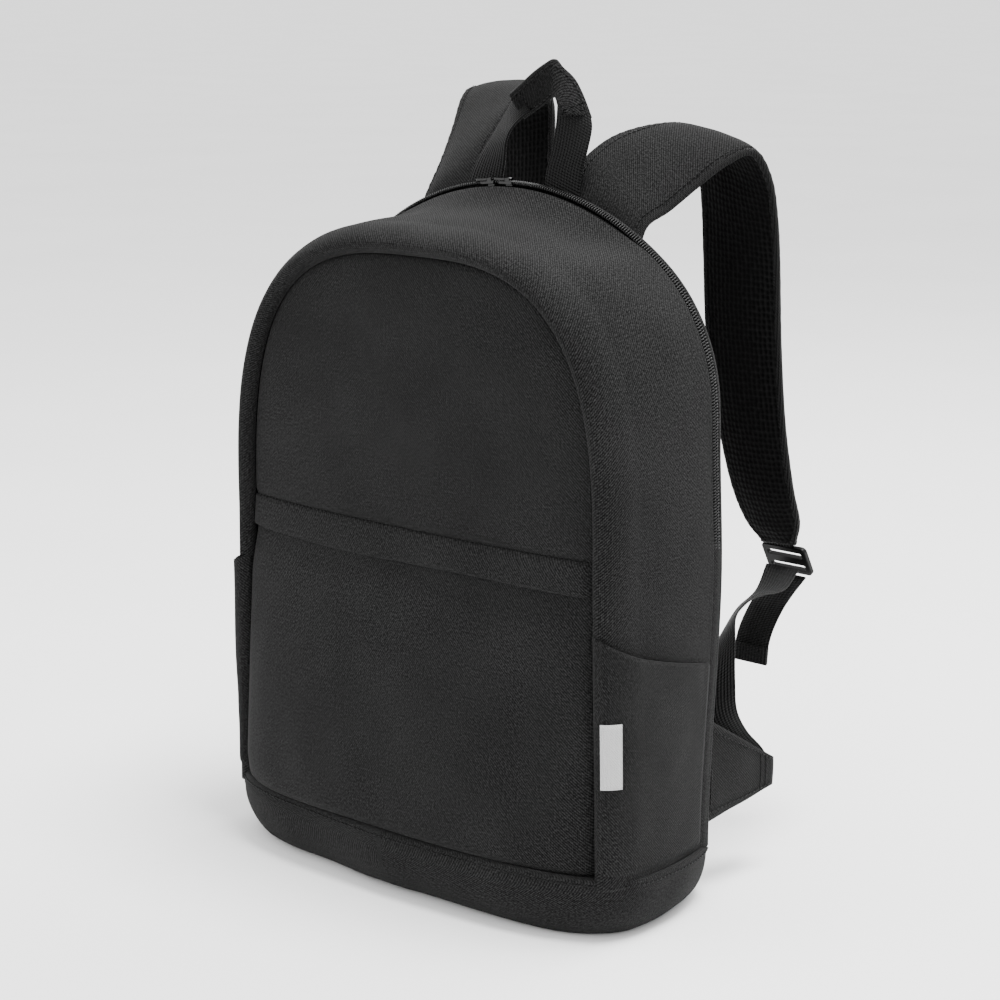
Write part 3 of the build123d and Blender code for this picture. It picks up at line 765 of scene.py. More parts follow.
def make_base():
    """Base band with its rounded lower edge, as rings from the seam down to the floor."""
    plan = base_outline(BASE_PLAN_HALF)
    ground = base_outline(BASE_FLOOR_HALF)
    tangents = np.roll(plan, -1, 0) - np.roll(plan, 1, 0)
    out = unit(np.stack([tangents[:, 1], -tangents[:, 0]], axis=1))
    sideways = out[:, 0] ** 2
    rear = out[:, 1] > 0
    at_side = np.where(rear, smoothstep(np.abs(plan[:, 0]), 95, 138), sideways)
    height = 28 * at_side + np.where(rear, 8, 30) * (1 - at_side)
    top = base_seam_z(plan[:, 1])
    rings = []

    def ring(offset, z):
        rings.append(np.column_stack([plan + out * offset[:, None], z]))

    flat = np.zeros(len(plan))
    for offset, drop in ((-14.0, 1.0), (-5.0, 1.0), (-2.2, 0.2), (-0.6, 1.0), (0.3, 2.5)):
        ring(flat + offset, top - drop)
    for share in np.linspace(0.2, 1, 5):
        ring(flat + 0.6 * sin(pi * share), top - 2.5 - (top - 2.5 - height) * share)
    for angle in np.linspace(0, pi / 2, 13)[1:]:
        rings.append(np.column_stack([ground + (plan - ground) * cos(angle), height * (1 - sin(angle))]))
    for share in (0.85, 0.6, 0.3, 0.02):
        last = rings[FLOOR_RING][:, :2]
        rings.append(np.column_stack([last * share, flat + 0.5]))
    grid = np.array(rings)
    amount = wobble(grid, 60, 1.6, 51) + wobble(grid, 21, 0.5, 52)
    rows = np.arange(len(grid))[:, None]
    hold = smoothstep(rows, 4, 8) * (1 - smoothstep(rows, 16, FLOOR_RING))
    closed = np.concatenate([grid, grid[:, :1]], axis=1)
    grid = grid + normals_of(closed)[:, :-1] * (amount * hold)[..., None]
    grid[..., 2] = np.maximum(grid[..., 2], 0)
    uv = cloth_uv(closed).reshape(len(grid), -1, 2)[:, :-1].reshape(-1, 2)
    piece = mesh_object("base", grid.reshape(-1, 3), grid_faces(*grid.shape[:2], wrap=True), uv)
    tidy_mesh(piece, axis=2, sign=-1, below=0.004)
    finish(piece, CANVAS, ["base_band"])
    return grid


def side_column(z):
    """Fractional column index of the right-hand wall at a height."""
    heights = FRONT[::-1][: COLUMNS_SIDE + 20, 1]
    return len(FRONT) - 1 - np.interp(z, heights, np.arange(len(heights)))


def wall_point(side, z, position, lift):
    """A point lifted off the side wall at a height, at a fractional place along the section."""
    c = side_column(z)
    low = int(np.clip(np.floor(c), 0, len(FRONT) - 2))
    part = c - low
    k = int(np.clip(np.floor(position), 0, len(SECTION) - 2))
    f = position - k
    a, b = SECTION[k], SECTION[k + 1]
    share, out, y = (a[i] + (b[i] - a[i]) * f for i in range(3))
    seam = FRONT[low] * (1 - part) + FRONT[low + 1] * part
    rear = REAR[low] * (1 - part) + REAR[low + 1] * part
    normal = FRONT_OUT[low]
    p = wall_place(seam, rear, normal, share, out)
    turn = atan2(b[1] - a[1], b[2] - a[2]) if share == 0 else 0.0
    push = np.array([normal[0] * cos(turn), -sin(turn), normal[1] * cos(turn)])
    q = np.array([p[0], y, p[1]]) + push * lift
    return np.array([abs(q[0]) * side, q[1], q[2]])


def pocket_rim(position):
    """Height of a side pocket's rim along the section, sagging between its ends."""
    share = position / (len(SECTION) - 1)
    return 184 - 35 * share**1.25 - 5 * sin(pi * share)


def side_pocket_lift(side, z, position):
    share = position / (len(SECTION) - 1)
    up = smoothstep(z, BASE_SEAM, pocket_rim(position) + 4)
    loose = 2.4 if side > 0 else 3.4
    flush = smoothstep(position, 0.5, 7)
    return 0.3 + (0.9 + 0.6 * up) * flush + loose * up * sin(pi * min(share * 1.08, 1)) ** 0.8


def make_side_pocket(side, tag):
    """Open side pocket: a loose sheet over the wall, tucked into the base seam."""
    positions = np.linspace(0.9, len(SECTION) - 1.6, 56)
    heights = np.linspace(0, 1, 70)
    rows = []
    for v in heights:
        row = []
        for s in positions:
            foot = base_seam_z(SECTION[int(s)][2])
            z = foot + (pocket_rim(s) - foot) * v
            lift = side_pocket_lift(side, z, s) - 2.6 * (1 - smoothstep(v, 0, 0.05))
            row.append(wall_point(side, z, s, lift))
        rows.append(row)
    grid = np.array(rows)
    v = heights[:, None]
    u = np.linspace(0, 1, len(positions))[None, :]
    hold = smoothstep(v, 0.02, 0.2) * smoothstep(u, 0.04, 0.2) * (1 - smoothstep(u, 0.85, 0.98))
    amount = (wobble(grid, 60, 1.7, 61 + side) + wobble(grid, 20, 0.55, 65 + side)) * hold
    grid[..., 0] += side * (amount + 0.4)
    piece = sheet_from_grid("side_pocket_cloth_" + tag, grid[:, ::side], 1.2, inward=False)
    finish(piece, CANVAS, ["side_pocket_" + tag])
    make_pocket_hem(side, tag, grid[-1])


def make_pocket_hem(side, tag, rim):
    """Narrow rolled hem along the rim."""
    roll = [(-0.6, 0.8), (0.5, 0.5), (1.0, -0.4), (1.0, -1.6), (0.6, -2.6), (-0.2, -3.0)]
    strip = np.array([rim + [side * out, 0.0, rise] for out, rise in roll])
    piece = sheet_from_grid("side_pocket_roll_" + tag, strip[:, ::-side], 0.5)
    finish(piece, CANVAS, ["side_pocket_hem_" + tag])


def finish_threads(threads, name, body="bag"):
    return finish(threads.build(name), THREAD, body=body)


def make_label():
    """Blank woven label sewn into the right front seam."""
    low, high = node_mm("side_label")
    places = np.linspace(4.2, 10.4, 14)
    heights = np.linspace(low[2], high[2], 14)
    grid = np.array([[wall_point(1, z, s, 3.0 + 0.30 * s) for s in places] for z in heights])
    piece = sheet_from_grid("blank_label", grid, 0.5, inward=False)
    finish(piece, LABEL_CLOTH, ["side_label"])


# ---- main zip and back
ARCH_MIDDLE = 200.0
COIL_PITCH = 1.75
COIL_STEPS = 10
REAR_INSET = 9.5  # the flange turns in by this much to the seam of the back


def arch_path(y, inset, foot=None):
    """The zip arch at one depth, inset towards the inside, from the left foot over to the right."""
    normals = outward(REAR)
    drop = CROWN_DROP * smoothstep(normals[:, 1], 0.78, 0.98) * (1 - smoothstep(y, GUSSET_EDGE, ZIP_Y))
    pts = REAR - normals * (inset + drop)[:, None]
    if foot is not None:
        keep = pts[:, 1] >= foot
        pts = pts[keep]
    return np.column_stack([pts[:, 0], np.full(len(pts), y), pts[:, 1]])


def arch_strip(name, profile, material, replaced, thickness, body):
    """A strip of cloth or tape along the zip arch; the profile is (y, inset) across it."""
    rows = [arch_path(y, inset) for y, inset in profile]
    grid = np.transpose(np.array(rows), (1, 0, 2))
    finish(sheet_from_grid(name, grid, thickness), material, [replaced], body)


def radial(line):
    """Unit directions away from the bag's middle, for stitches along the arch."""
    out = line - np.array([0, 0, ARCH_MIDDLE])
    out[:, 1] = 0
    return unit(out)


def make_wall_closings():
    """Cloth that joins the wall to the rear flange below each end of the zip."""
    top = COIL_REAR_LOW[2] + 8
    wall_side = [(GUSSET_EDGE - 3, 0.9), (GUSSET_EDGE, -0.2)]
    profile = wall_side + [(ZIP_Y, -0.5), (ZIP_Y + 3, -0.2), (ZIP_Y + 5, 0.6)]
    for side, tag in ((1, "right"), (-1, "left")):
        rows = []
        for place, normal in zip(REAR, outward(REAR)):
            if place[1] >= top or place[0] * side <= 0:
                continue
            points = [(place - normal * inset, y) for y, inset in profile]
            rows.append([(p[0], y, p[1]) for p, y in points])
        piece = sheet_from_grid("wall_closing_" + tag, np.array(rows), 1.0)
        finish(piece, CANVAS, ["main_zip_end_stops"])


def make_zip():
    """Zip tapes and the two interleaved coils along the arch."""
    front = [(GUSSET_EDGE - 2, 1.9), (GUSSET_EDGE, 1.6), (ZIP_Y - 1.4, 1.5)]
    rear = [(ZIP_Y + 1.4, 1.5), (ZIP_Y + 4, 1.6), (ZIP_Y + 6, 1.9)]
    arch_strip("zip_tape_front", front, TAPE, "main_zip_tape_front", 0.6, "bend")
    arch_strip("zip_tape_rear", rear, TAPE, "main_zip_tape_rear", 0.6, "bag")
    path = arch_path(ZIP_Y, -0.5, COIL_REAR_LOW[2])
    line = resample(path, int(run_length(path)[-1] / COIL_PITCH) * COIL_STEPS)
    tangent = unit(np.gradient(line, axis=0))
    normal = np.column_stack([-tangent[:, 2], tangent[:, 1] * 0, tangent[:, 0]])
    for label, sign, body in (("front", -1, "bend"), ("rear", 1, "bag")):
        angle = 2 * pi * np.arange(len(line)) / COIL_STEPS + (pi if sign > 0 else 0)
        coil = line + normal * (0.85 * np.sin(angle))[:, None]
        coil[:, 1] = ZIP_Y + sign * 1.25 + 1.3 * np.cos(angle)
        parts = Parts()
        parts.add(*tube_along(coil, 0.48, sides=5))
        finish(parts.build("zip_coil_" + label), COIL, ["main_zip_coil_" + label], body)


def make_rear_flange():
    """Cloth between the zip and the back, with piping in its seam and a row of stitches."""
    profile = [
        (ZIP_Y + 3.4, 1.4), (ZIP_Y + 3.5, 0.2), (ZIP_Y + 4.8, 0.1), (ZIP_Y + 7, 1.4),
        (ZIP_Y + 9.5, 4.2), (ZIP_Y + 11.5, 7.6), (ZIP_Y + 12.2, REAR_INSET),
    ]
    arch_strip("rear_flange_cloth", smooth_path(profile, 4), CANVAS, "rear_flange", 1.0, "bag")
    piping = Parts()
    piping.add(*tube_along(arch_path(ZIP_Y + 12.4, REAR_INSET + 0.5), 1.1, sides=10))
    finish(piping.build("back_piping"), BINDING)
    threads = Parts()
    line = resample(arch_path(ZIP_Y + 5.2, 0.0), 420)
    stitch_line(threads, line, radial(line))
    finish_threads(threads, "flange_stitches")


def make_gusset_stitches():
    """Double topstitching down the wall beside the zip."""
    threads = Parts()
    for y, share in ((GUSSET_EDGE - 2.0, 0.97), (GUSSET_EDGE - 7.5, 0.885)):
        line = GUSSET_GRID[:, int(16 + 3 + share * 21) - 1, :].copy()
        line[:, 1] = y
        line = resample(line, 420)
        out = radial(line)
        stitch_line(threads, line + out * 0.45, out)
    finish_threads(threads, "gusset_stitches", "bend")


PAD_EDGE = 15.0  # the pad rises to its full height over this width
PAD_CORNER = 40.0
PAD_CHANNEL_X = 42.0


def make_back():
    """Back panel, row by row between the two sides of the arch, and its pad."""
    span = arch_path(BACK_FACE, REAR_INSET)
    middle = len(span) // 2
    rows = []
    for here, there in zip(span[:middle], span[::-1][:middle]):
        share = np.linspace(0, 1, 60)[:, None]
        row = here * (1 - share) + there * share
        row[:, 1] = BACK_FACE + 1.5 * (1 - (2 * share[:, 0] - 1) ** 4)
        rows.append(row)
    grid = np.array(rows)
    flat = grid.reshape(-1, 3)
    piece = mesh_object("back_panel_cloth", flat, grid_faces(*grid.shape[:2]), front_uv(flat))
    tidy_mesh(piece, axis=1, merge=0.0001)
    finish(piece, CANVAS, ["back_panel"])
    make_back_pad()


def pad_height(x, z, edge):
    """Height of the back pad over the panel: puffed, and sewn down along its channels."""
    puff = smoothstep(edge, 0, PAD_EDGE)
    channel = 0.0
    for line in (-PAD_CHANNEL_X, PAD_CHANNEL_X):
        channel += np.exp(-((x - line - 4 * sin(z / 60)) ** 2) / 14.0)
    for line in (130.0, 250.0):
        channel += 0.8 * np.exp(-((z - line) ** 2) / 14.0) * (1 if abs(x) < PAD_CHANNEL_X else 0)
    return 0.8 + 7.0 * puff - 4.5 * min(channel, 1) * puff


def make_back_pad():
    """Air-mesh pad with rounded corners and a bound edge."""
    low, high = node_mm("back_mesh")
    rows = []
    for z in low[2] + (high[2] - low[2]) * np.linspace(0, 1, 190):
        near = min(z - low[2], high[2] - z)
        cut = 0.0
        if near < PAD_CORNER:
            cut = PAD_CORNER - (PAD_CORNER**2 - (PAD_CORNER - near) ** 2) ** 0.5
        half = high[0] - cut
        row = [(half * u, min(near, half - abs(half * u))) for u in np.linspace(-1, 1, 150)]
        rows.append([(x, BACK_FACE + pad_height(x, z, edge), z) for x, edge in row])
    grid = np.array(rows)
    grid[..., 1] += wobble(grid, 45, 0.8, 71)
    flat = grid[:, ::-1].reshape(-1, 3)
    pad = mesh_object("back_pad", flat, grid_faces(*grid.shape[:2]), front_uv(flat))
    finish(pad, MESH, ["back_foam", "back_mesh"])
    rim = np.concatenate([grid[0], grid[1:, -1], grid[-1, -2::-1], grid[-2:0:-1, 0]])
    rim = resample(rim, 300, closed=True) + [0, 1.0, 0]
    binding = Parts()
    binding.add(*tube_along(rim, 1.6, sides=8, closed=True))
    finish(binding.build("back_pad_binding"), BINDING)


# ---- straps, webbing and handle
# Edge pairs of the right strap in millimetres, inner edge then outer, from its seam to its end.
STRAP = [
    ((50, 50, 406), (101, 50, 383)), ((50, 60, 428), (100, 60, 397)), ((50, 74, 438), (103, 76, 405)),
    ((51, 92, 445), (108, 94, 418)), ((55, 114, 449), (114, 111, 431)), ((59, 132, 448), (119, 128, 436)),
    ((62, 145, 436), (120, 141, 419)), ((64, 148, 404), (120, 147, 394)), ((66, 147, 370), (120, 149, 366)),
    ((70, 146, 320), (121, 151, 319)), ((75, 152, 270), (122, 156, 270)), ((79, 162, 228), (123, 165, 228)),
    ((84, 172, 202), (122, 175, 204)), ((92, 179, 188), (116, 181, 189)),
]
LOWER_WEBBING = [
    ((94, 181, 171), (119, 181, 171)), ((105, 154, 161), (129, 150, 166)), ((111, 126, 156), (131, 119, 170)),
    ((118, 101, 147), (134, 94, 164)), ((122, 82, 137), (140, 84, 150)), ((125, 69, 122), (145, 78, 127)),
    ((128, 66, 104), (144, 82, 108)), ((130, 76, 88), (143, 94, 92)), ((131, 88, 76), (143.5, 108, 79)),
    ((132, 98, 66), (143.8, 115, 71)),
]
TAIL = [
    ((94, 189.5, 164.5), (119, 189.5, 164.5)), ((95, 174, 157), (120, 174, 157)),
    ((97, 160, 150), (122, 160, 150)), ((98, 149, 140), (123, 149, 140)),
    ((98, 144, 130), (123, 144, 130)), ((98, 142, 118), (123, 142, 118)),
]
LEFT_RISE = [2, 5, 12, 17, 20, 19, 16, 10, 5, 1, 0, 0, 0, 0]  # the left strap's fold stands higher
LEFT_SHIFT = [15, 15, 15, 14, 12, 10, 8, 6, 3, 1, 0, 0, 0, 0]  # and its root sits nearer the middle
RIGHT_SHIFT = [12, 12, 11, 9, 6, 4, 2, 1, 0, 0, 0, 0, 0, 0]


def strip_frame(stations, side, per_span=9):
    """Smooth edges of a flat strap: left edge, right edge and unit normals at each row."""
    flat = np.array([[*a, *b] for a, b in stations], float)
    path = smooth_path(flat, per_span)
    a, b = path[:, :3].copy(), path[:, 3:].copy()
    a[:, 0] *= side
    b[:, 0] *= side
    middle = (a + b) / 2
    along = np.gradient(middle, axis=0)
    return a, b, unit(np.cross(b - a, along) * side)


def strap_stations(side):
    """The right strap's stations, or the left one's with its higher fold."""
    if side > 0:
        return [((a[0] - d, a[1], a[2]), (b[0] - d, b[1], b[2])) for (a, b), d in zip(STRAP, RIGHT_SHIFT)]
    pairs = zip(STRAP, LEFT_RISE, LEFT_SHIFT)
    return [((a[0] - d, a[1], a[2] + r), (b[0] - d, b[1], b[2] + 1.4 * r)) for (a, b), r, d in pairs]


def strap_rows(frame_rows, across, thick):
    """Grid over a strap, swelling from its bound edges; thick is (at the edge, more in the middle)."""
    a, b, normal = frame_rows
    rows = []
    for k in range(len(a)):
        end = min(1, min(k, len(a) - 1 - k) / 10 + 0.25)
        lifts = [thick[0] + thick[1] * (1 - abs(2 * u - 1) ** 2.6) * end for u in across]
        rows.append([a[k] + (b[k] - a[k]) * u + normal[k] * lift for u, lift in zip(across, lifts)])
    return np.array(rows)


RING = 26  # points round a webbing's section
BINDING_HALF = 2.3


def webbing_piece(name, stations, side, thickness, per_span=9):
    """Closed strip with rounded edges along its stations."""
    a, b, normal = strip_frame(stations, side, per_span)
    angles = np.linspace(0, 2 * pi, RING, endpoint=False)
    across = 0.5 - 0.5 * np.sign(np.cos(angles)) * np.abs(np.cos(angles)) ** 0.55
    height = np.sign(np.sin(angles)) * np.abs(np.sin(angles)) ** 0.45 * thickness / 2
    rings = a[:, None] + (b - a)[:, None] * across[:, None] + normal[:, None] * height[:, None]
    rows = len(rings)
    width = np.linalg.norm(rings[0, 0] - rings[0, RING // 2])
    along = run_length(rings.mean(axis=1))
    uv = np.stack([np.tile(across * width, (rows, 1)), np.tile(along[:, None], (1, RING))], axis=2)
    piece = mesh_object(name, rings.reshape(-1, 3), ring_faces(rows, RING), uv.reshape(-1, 2) * MM)
    tidy_mesh(piece)
    return piece


def both_edges(a, b):
    """Both edges of a strap, each with its unit direction towards the other."""
    return (a, unit(b - a)), (b, unit(a - b))


def strap_binding(a, b, normal):
    """Rolled binding of a strap's edges and lower end, slightly puckered by its stitches."""
    parts = Parts()
    for edge, inward in both_edges(a, b):
        rings = []
        for k in range(len(edge)):
            pucker = 1 + 0.10 * sin(k * 2.4)
            for t in np.linspace(0, 2 * pi, 16, endpoint=False):
                wide = BINDING_HALF * cos(t) * (1 if cos(t) < 0 else 1.5)
                tall = BINDING_HALF * np.sign(sin(t)) * abs(sin(t)) ** 0.8
                rings.append(edge[k] + inward[k] * (wide + 1.6) + normal[k] * tall * pucker)
        parts.add(np.array(rings), ring_faces(len(edge), 16))
    tip = np.linspace(0, 1, 10)[:, None]
    parts.add(*tube_along(a[-1] * (1 - tip) + b[-1] * tip, BINDING_HALF, sides=10))
    return parts


def make_strap(side, tag):
    """Padded shoulder strap: canvas over, air mesh under, bound and stitched edges."""
    across = np.linspace(0.03, 0.97, 26)
    a, b, normal = strip_frame(strap_stations(side), side)
    top = strap_rows((a, b, normal), across, (1.6, 3.4))
    top = top + normal[:, None, :] * (wobble(top, 38, 0.9, 81) + wobble(top, 14, 0.35, 82))[..., None]
    low = strap_rows((a, b, normal), across, (-1.4, -3.2))
    low = low + normal[:, None, :] * wobble(low, 30, 0.7, 83)[..., None]
    covers = (
        ("strap_canvas_", top[:, ::side], CANVAS_SOFT, "canvas", ["strap_cover_", "strap_foam_"]),
        ("strap_air_mesh_", low[:, ::-side], MESH, "air_mesh", ["strap_mesh_"]),
    )
    for name, grid, material, slot_name, replaced in covers:
        piece = sheet_from_grid(name + tag, grid, 0.8)
        finish(piece, material, [node + tag for node in replaced], body=None)
        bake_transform(piece)
    parts = strap_binding(a, b, normal)
    piece = mesh_object("strap_edge_binding_" + tag, np.vstack(parts.verts), parts.faces, strip_uv(parts))
    finish(piece, BINDING, ["strap_binding_" + tag], body=None)
    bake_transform(piece)
    threads = Parts()
    for edge, inward in both_edges(a, b):
        stitch_line(threads, edge + inward * 4.6 + normal * 3.0, normal)
    piece = finish_threads(threads, "strap_stitches_" + tag, None)
    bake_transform(piece)


def strip_uv(parts):
    """Rough cloth coordinates for narrow strips: distance along by height."""
    points = np.vstack(parts.verts)
    return np.stack([points[:, 1] + points[:, 0], points[:, 2] + points[:, 1]], axis=1) * MM


def level_pairs(inner, outer, places):
    """Edge pairs of a strip that lies level across, from its two sides and its (y, z) places."""
    return [((inner, y, z), (outer, y, z)) for y, z in places]


def make_lower_parts(side, tag):
    """Webbing from the wing to the ladder lock, its free tail, and the lock's loop."""
    lower = webbing_piece("adjuster_webbing_" + tag, LOWER_WEBBING, side, 1.5)
    finish(lower, WEBBING, ["lower_webbing_" + tag], body=None)
    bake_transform(lower)
    low, high = node_mm("strap_tab_" + tag)
    tab_in, tab_out = sorted((abs(low[0]), abs(high[0])))
    fold = level_pairs(98, 123, [(143.4, 129), (142.8, 124), (142.2, 118.5)])
    loop = level_pairs(tab_in, tab_out, [(178.5, 194), (180.4, 188.5), (182.2, 185.0), (184.8, 182.6)])
    for name, stations, thickness, node in (
        ("tail_webbing_", TAIL, 1.6, "webbing_tail_"),
        ("tail_fold_", fold, 4.0, "webbing_tail_end_"),
        ("lock_loop_", loop, 2.4, "strap_tab_"),
    ):
        piece = webbing_piece(name + tag, stations, side, thickness)
        finish(piece, WEBBING, [node + tag], "strap_" + tag)
    make_wing(side, tag)


def make_wing(side, tag):
    """Stitched canvas triangle between the side of the back and the lower webbing."""
    low, high = node_mm("wing_" + tag)
    middle = (abs(low[0]) + abs(high[0])) / 2
    top, bottom = np.array((middle - 3, 50, 111)), np.array((middle - 4, 50, 44))
    tip_high, tip_low = np.array((middle - 1, 118, 70)), np.array((middle - 1, 118, 52))
    v = np.linspace(0, 1, 26)[:, None]
    u = np.linspace(0, 1, 22)[None, :]
    upper = (top * (1 - v) + tip_high * v)[:, None]
    lower = (bottom * (1 - v) + tip_low * v)[:, None]
    grid = upper * (1 - u[..., None]) + lower * u[..., None]
    swell = 1.3 * np.sin(pi * u) ** 0.7 * np.sin(pi * (0.08 + 0.84 * v))
    outer, inner = grid.copy(), grid.copy()
    outer[..., 0] = side * (grid[..., 0] + 1.4 + swell + wobble(grid, 25, 0.8, 91))
    inner[..., 0] = side * (grid[..., 0] - 1.4 - swell * 0.8)
    rows, columns = grid.shape[:2]
    quads = grid_faces(rows, columns)
    parts = Parts()
    parts.add(outer.reshape(-1, 3), quads)
    parts.add(inner.reshape(-1, 3), [f[::-1] for f in quads])
    index = np.arange(rows * columns).reshape(rows, columns)
    rim = [*index[:, 0], *index[-1, 1:], *index[-2::-1, -1], *index[0, -2:0:-1]]
    for a, b in zip(rim, rim[1:] + rim[:1]):
        parts.faces.append((a, b, b + index.size, a + index.size))
    verts = np.vstack(parts.verts)
    piece = mesh_object("wing_cloth_" + tag, verts, parts.faces, verts[:, 1:] * MM)
    tidy_mesh(piece)
    finish(piece, CANVAS, ["wing_" + tag])
    threads = Parts()
    rows_of_thread = [outer[1:-1, column] for column in (2, 19)] + [outer[row, 2:-2] for row in (2, 20, 22)]
    for line in rows_of_thread:
        stitch_line(threads, line + [side * 0.3, 0, 0], np.tile([side, 0, 0], (len(line), 1)))
    finish_threads(threads, "wing_stitches_" + tag)


# Edge pairs of the carry handle in millimetres: each leg from its seam up, and the folded grip.
HANDLE_LEFT = [
    ((-42, 50, 404), (-16, 50, 404)), ((-42, 50, 415), (-15, 50, 416)), ((-37, 52, 428), (-11, 48, 429)),
    ((-29.3, 55, 441), (-7, 45, 441.7)), ((-20, 57, 455), (-1, 43.5, 450)), ((-9, 54, 467), (4, 47, 456)),
    ((-2, 51, 473), (8, 49, 459)),
]
HANDLE_RIGHT = [
    ((18, 50, 404), (44.5, 50, 404)), ((18.5, 50, 415), (45.4, 50, 417)), ((20, 50, 426), (47.5, 50, 428)),
    ((24, 50, 437.6), (51, 50, 439)), ((28.5, 48, 453), (52.6, 52, 452)), ((31, 46, 464), (49, 54, 462)),
]
GRIP = [
    ((-4.7, 45, 470), (-1.3, 55, 455)), ((4.3, 45, 476.5), (5.7, 55, 459)),
    ((13.3, 45, 483), (12.7, 55, 463)), ((21, 46.5, 488.3), (19.5, 53.5, 466.5)),
    ((25.5, 50, 490.8), (26.5, 50, 468.5)), ((29.5, 53.5, 486), (30.5, 46.5, 465.5)),
    ((36.5, 56, 479), (33, 44, 463)), ((43.5, 56, 469), (33.5, 44, 461)),
    ((49.3, 56, 457.5), (33.7, 44, 459)),
]


def make_handle():
    """Carry handle: two webbing legs and a folded canvas grip with its stitches."""
    for tag, stations in (("left", HANDLE_LEFT), ("right", HANDLE_RIGHT)):
        leg = webbing_piece("handle_web_" + tag, stations, 1, 1.8)
        finish(leg, WEBBING, ["handle_webbing"], body=None)
        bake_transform(leg)
    grip = webbing_piece("handle_grip_cloth", GRIP, 1, 5.6, per_span=8)
    finish(grip, CANVAS_SOFT, ["handle_grip"], "handle")
    threads = Parts()
    a, b, normal = strip_frame(GRIP, 1, 8)
    for share in (0.13, 0.87):
        for face in (1, -1):
            stitch_line(threads, a + (b - a) * share + normal * 2.75 * face, normal * face)
    for row in (3, 6, -4, -7):
        line = a[row] + (b[row] - a[row]) * np.linspace(0.1, 0.9, 12)[:, None]
        for face in (1, -1):
            lift = np.tile(normal[row] * face, (12, 1))
            stitch_line(threads, line + lift * 2.85, lift)
    finish_threads(threads, "handle_stitches", "handle")


def face_line(z, depth, reach, count=200):
    """A line across the front at one height, a little behind its surface."""
    x = np.linspace(-reach, reach, count)
    return np.stack([x, face_y(x, np.full(count, z)) + depth, np.full(count, z)], axis=1)


POCKET_ZIP_RISE = 6.0  # the seen zip lies this much above the CAD one, on the bulged face


def make_pocket_zip():
    """Zip of the front pocket, hidden by the flap's hem."""
    low, high = node_mm("pocket_zip_coil")
    middle = (low[2] + high[2]) / 2 + POCKET_ZIP_RISE
    reach = high[0]
    for place, start, end in (("lower", -6.5, -0.6), ("upper", 0.6, 8.0)):
        rows = [face_line(middle + start + (end - start) * r, 3.4, reach) for r in np.linspace(0, 1, 4)]
        tape = sheet_from_grid("pocket_tape_" + place, np.array(rows)[::-1], 0.6)
        finish(tape, TAPE, ["pocket_zip_tape_" + place])
    line = face_line(middle, 2.6, reach, count=1300)
    angle = 2 * pi * np.arange(len(line)) / 8
    line[:, 2] += 1.5 * np.cos(angle)
    line[:, 1] += 0.6 * np.sin(angle)
    parts = Parts()
    parts.add(*tube_along(line, 0.4, sides=5))
    stops = face_line(middle, 2.4, reach, count=3)
    for stop in (stops[0], stops[2]):
        parts.add(*tube_along(np.array([stop + [0, 0, dz] for dz in (-2.2, 0, 2.2)]), 1.1, sides=8))
    finish(parts.build("pocket_coil"), COIL, ["pocket_zip_coil", "pocket_zip_stops"])
    make_pocket_slider(middle)


def make_pocket_slider(middle):
    """Slider of the pocket zip with a small ring as its puller."""
    low, high = node_mm("pocket_zip_slider")
    x = (low[0] + high[0]) / 2
    y = float(face_y(np.array([x]), np.array([middle]))[0]) + 1.9
    turn = np.linspace(0, 2 * pi, 14, endpoint=False)
    rings = []
    for along, out, half in ((-4.6, 0, 2.6), (-1.5, -0.5, 3.0), (1.5, -0.5, 2.4), (4.6, 0, 1.4)):
        rings += [(x + along, y + out - 0.6 * cos(t), middle + half * sin(t)) for t in turn]
    parts = Parts()
    parts.add(np.array(rings), ring_faces(4, len(turn)))
    finish(parts.build("pocket_slider_body"), ENAMEL, ["pocket_zip_slider"], "pocket_slider")
    turn = np.linspace(0, 2 * pi, 20, endpoint=False)
    ring = np.stack([4.6 * np.cos(turn), 0 * turn, 1.9 * np.sin(turn)], axis=1)
    ring += [x + 5.5, y - 0.2, middle - 1.2]
    parts = Parts()
    parts.add(*tube_along(ring, 0.6, sides=8, closed=True))
    finish(parts.build("pocket_slider_pull"), ENAMEL, ["pocket_zip_pull"], "pocket_slider")


def make_front_stitches():
    """Topstitching of the flap and of the base seam."""
    threads = Parts()
    x = np.linspace(-135, 135, 260)
    z = np.full(260, FLAP_STITCH)
    line = np.stack([x, face_y(x, z) + 1.0, z], axis=1)
    stitch_line(threads, line, np.tile([0, -1, 0], (260, 1)), length=2.0, gap=1.3, radius=0.3)
    finish_threads(threads, "flap_stitches")
    threads = Parts()
    loop = BASE_GRID[SEAM_RING]
    front = loop[loop[:, 1] < 50]
    steps = np.linalg.norm(np.diff(front, axis=0), axis=1)
    line = resample(np.roll(front, -int(np.argmax(steps)) - 1, axis=0), 500)
    out = unit(line * [1, 1, 0])
    stitch_line(threads, line + out * 0.3, out)
    finish_threads(threads, "base_stitches")


# ---- finish of carried-over nodes
def dress_frame_nodes():
    kinds = {"slider": ENAMEL, "pull": ENAMEL, "stops": COIL, "coil": COIL, "tape": TAPE, "lock": LOCK}
    for name, node in frame["nodes"].items():
        material = next((m for key, m in kinds.items() if key in name), CANVAS_NODE)
        node.data.materials.clear()
        node.data.materials.append(material)


# ---- floor, light and camera
FLOOR_SIZE = 120  # metres
WORLD_STRENGTH = 1.9


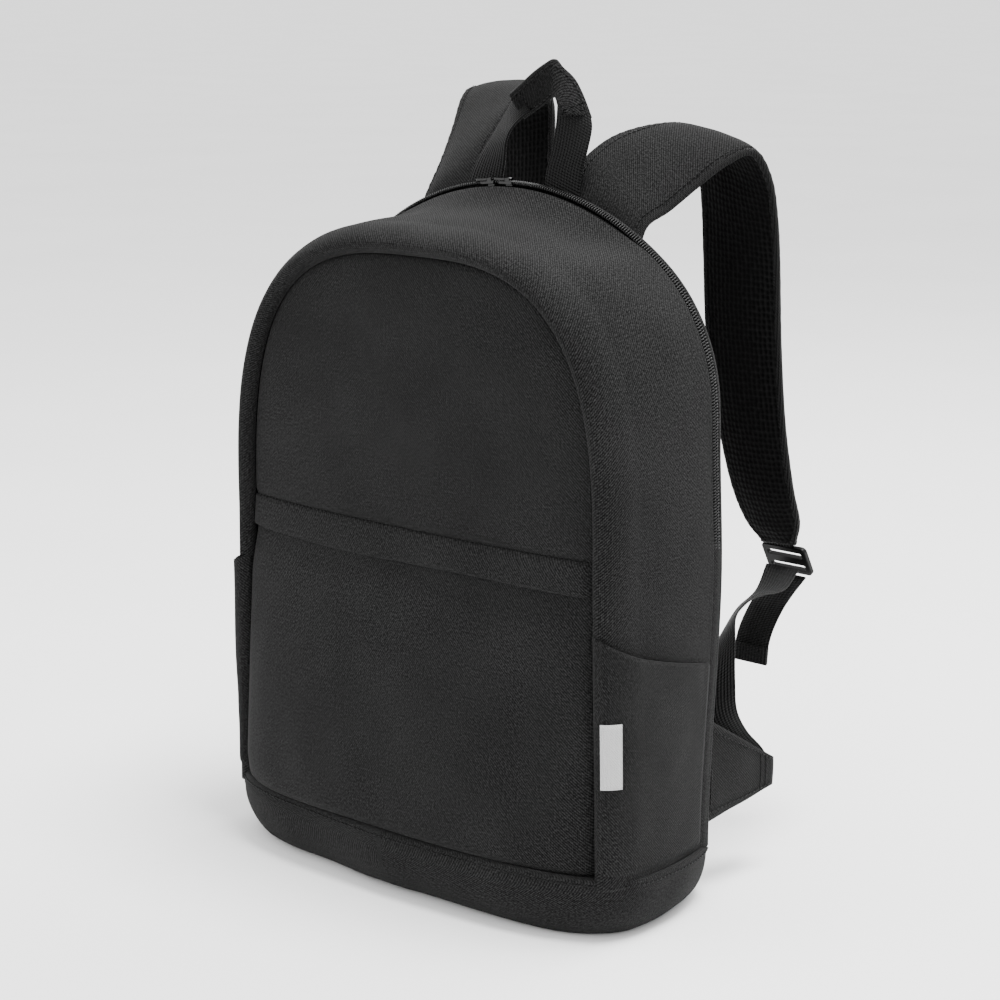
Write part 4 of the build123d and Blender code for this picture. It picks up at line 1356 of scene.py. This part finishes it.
def make_floor():
    bpy.ops.mesh.primitive_plane_add(size=FLOOR_SIZE, location=(0, 0, 0))
    floor = bpy.context.active_object
    floor.name = "floor"
    floor.data.materials.append(plain_matte("floor_paper", 3, 2, (0.3, 0.90), (0.7, 0.93), gloss=0.1))


def area_light(name, place, target, size, power):
    data = bpy.data.lights.new(name, "AREA")
    data.shape = "DISK"
    data.size = size
    data.energy = power
    lamp = bpy.data.objects.new(name, data)
    lamp.location = place
    lamp.rotation_euler = (Vector(target) - Vector(place)).to_track_quat("-Z", "Y").to_euler()
    bpy.context.scene.collection.objects.link(lamp)


def make_lights():
    world = bpy.data.worlds.new("studio")
    world.use_nodes = True
    world.node_tree.nodes["Background"].inputs["Color"].default_value = (1, 1, 1, 1)
    world.node_tree.nodes["Background"].inputs["Strength"].default_value = WORLD_STRENGTH
    bpy.context.scene.world = world
    area_light("key", (0.45, 0.1, 1.9), (0, 0, 0.25), 0.8, 72)
    area_light("fill", (-1.2, -1.6, 0.9), (0, 0, 0.2), 1.4, 10)
    area_light("rear", (0.2, 1.7, 1.5), (0, 0, 0.25), 1.2, 26)


CAMERA_PLACE = (0.95516, -1.06830, 0.55818)
CAMERA_TARGET = (0.015094, 0.013121, 0.230)
CAMERA_LENS = 87.84


def make_camera():
    data = bpy.data.cameras.new("camera")
    data.lens = CAMERA_LENS
    data.sensor_width = 36
    camera = bpy.data.objects.new("camera", data)
    camera.location = CAMERA_PLACE
    camera.rotation_euler = (Vector(CAMERA_TARGET) - camera.location).to_track_quat("-Z", "Y").to_euler()
    bpy.context.scene.collection.objects.link(camera)
    bpy.context.scene.camera = camera


make_camera()
make_floor()
make_lights()
dress_frame_nodes()
GUSSET_GRID = make_gusset()
make_upper_front()
make_flap()
make_pocket_panel()
BASE_GRID = make_base()
for side, tag in ((1, "right"), (-1, "left")):
    make_side_pocket(side, tag)
    make_strap(side, tag)
    make_lower_parts(side, tag)
make_label()
make_pocket_zip()
make_front_stitches()
make_wall_closings()
make_zip()
make_rear_flange()
make_gusset_stitches()
make_back()
make_handle()
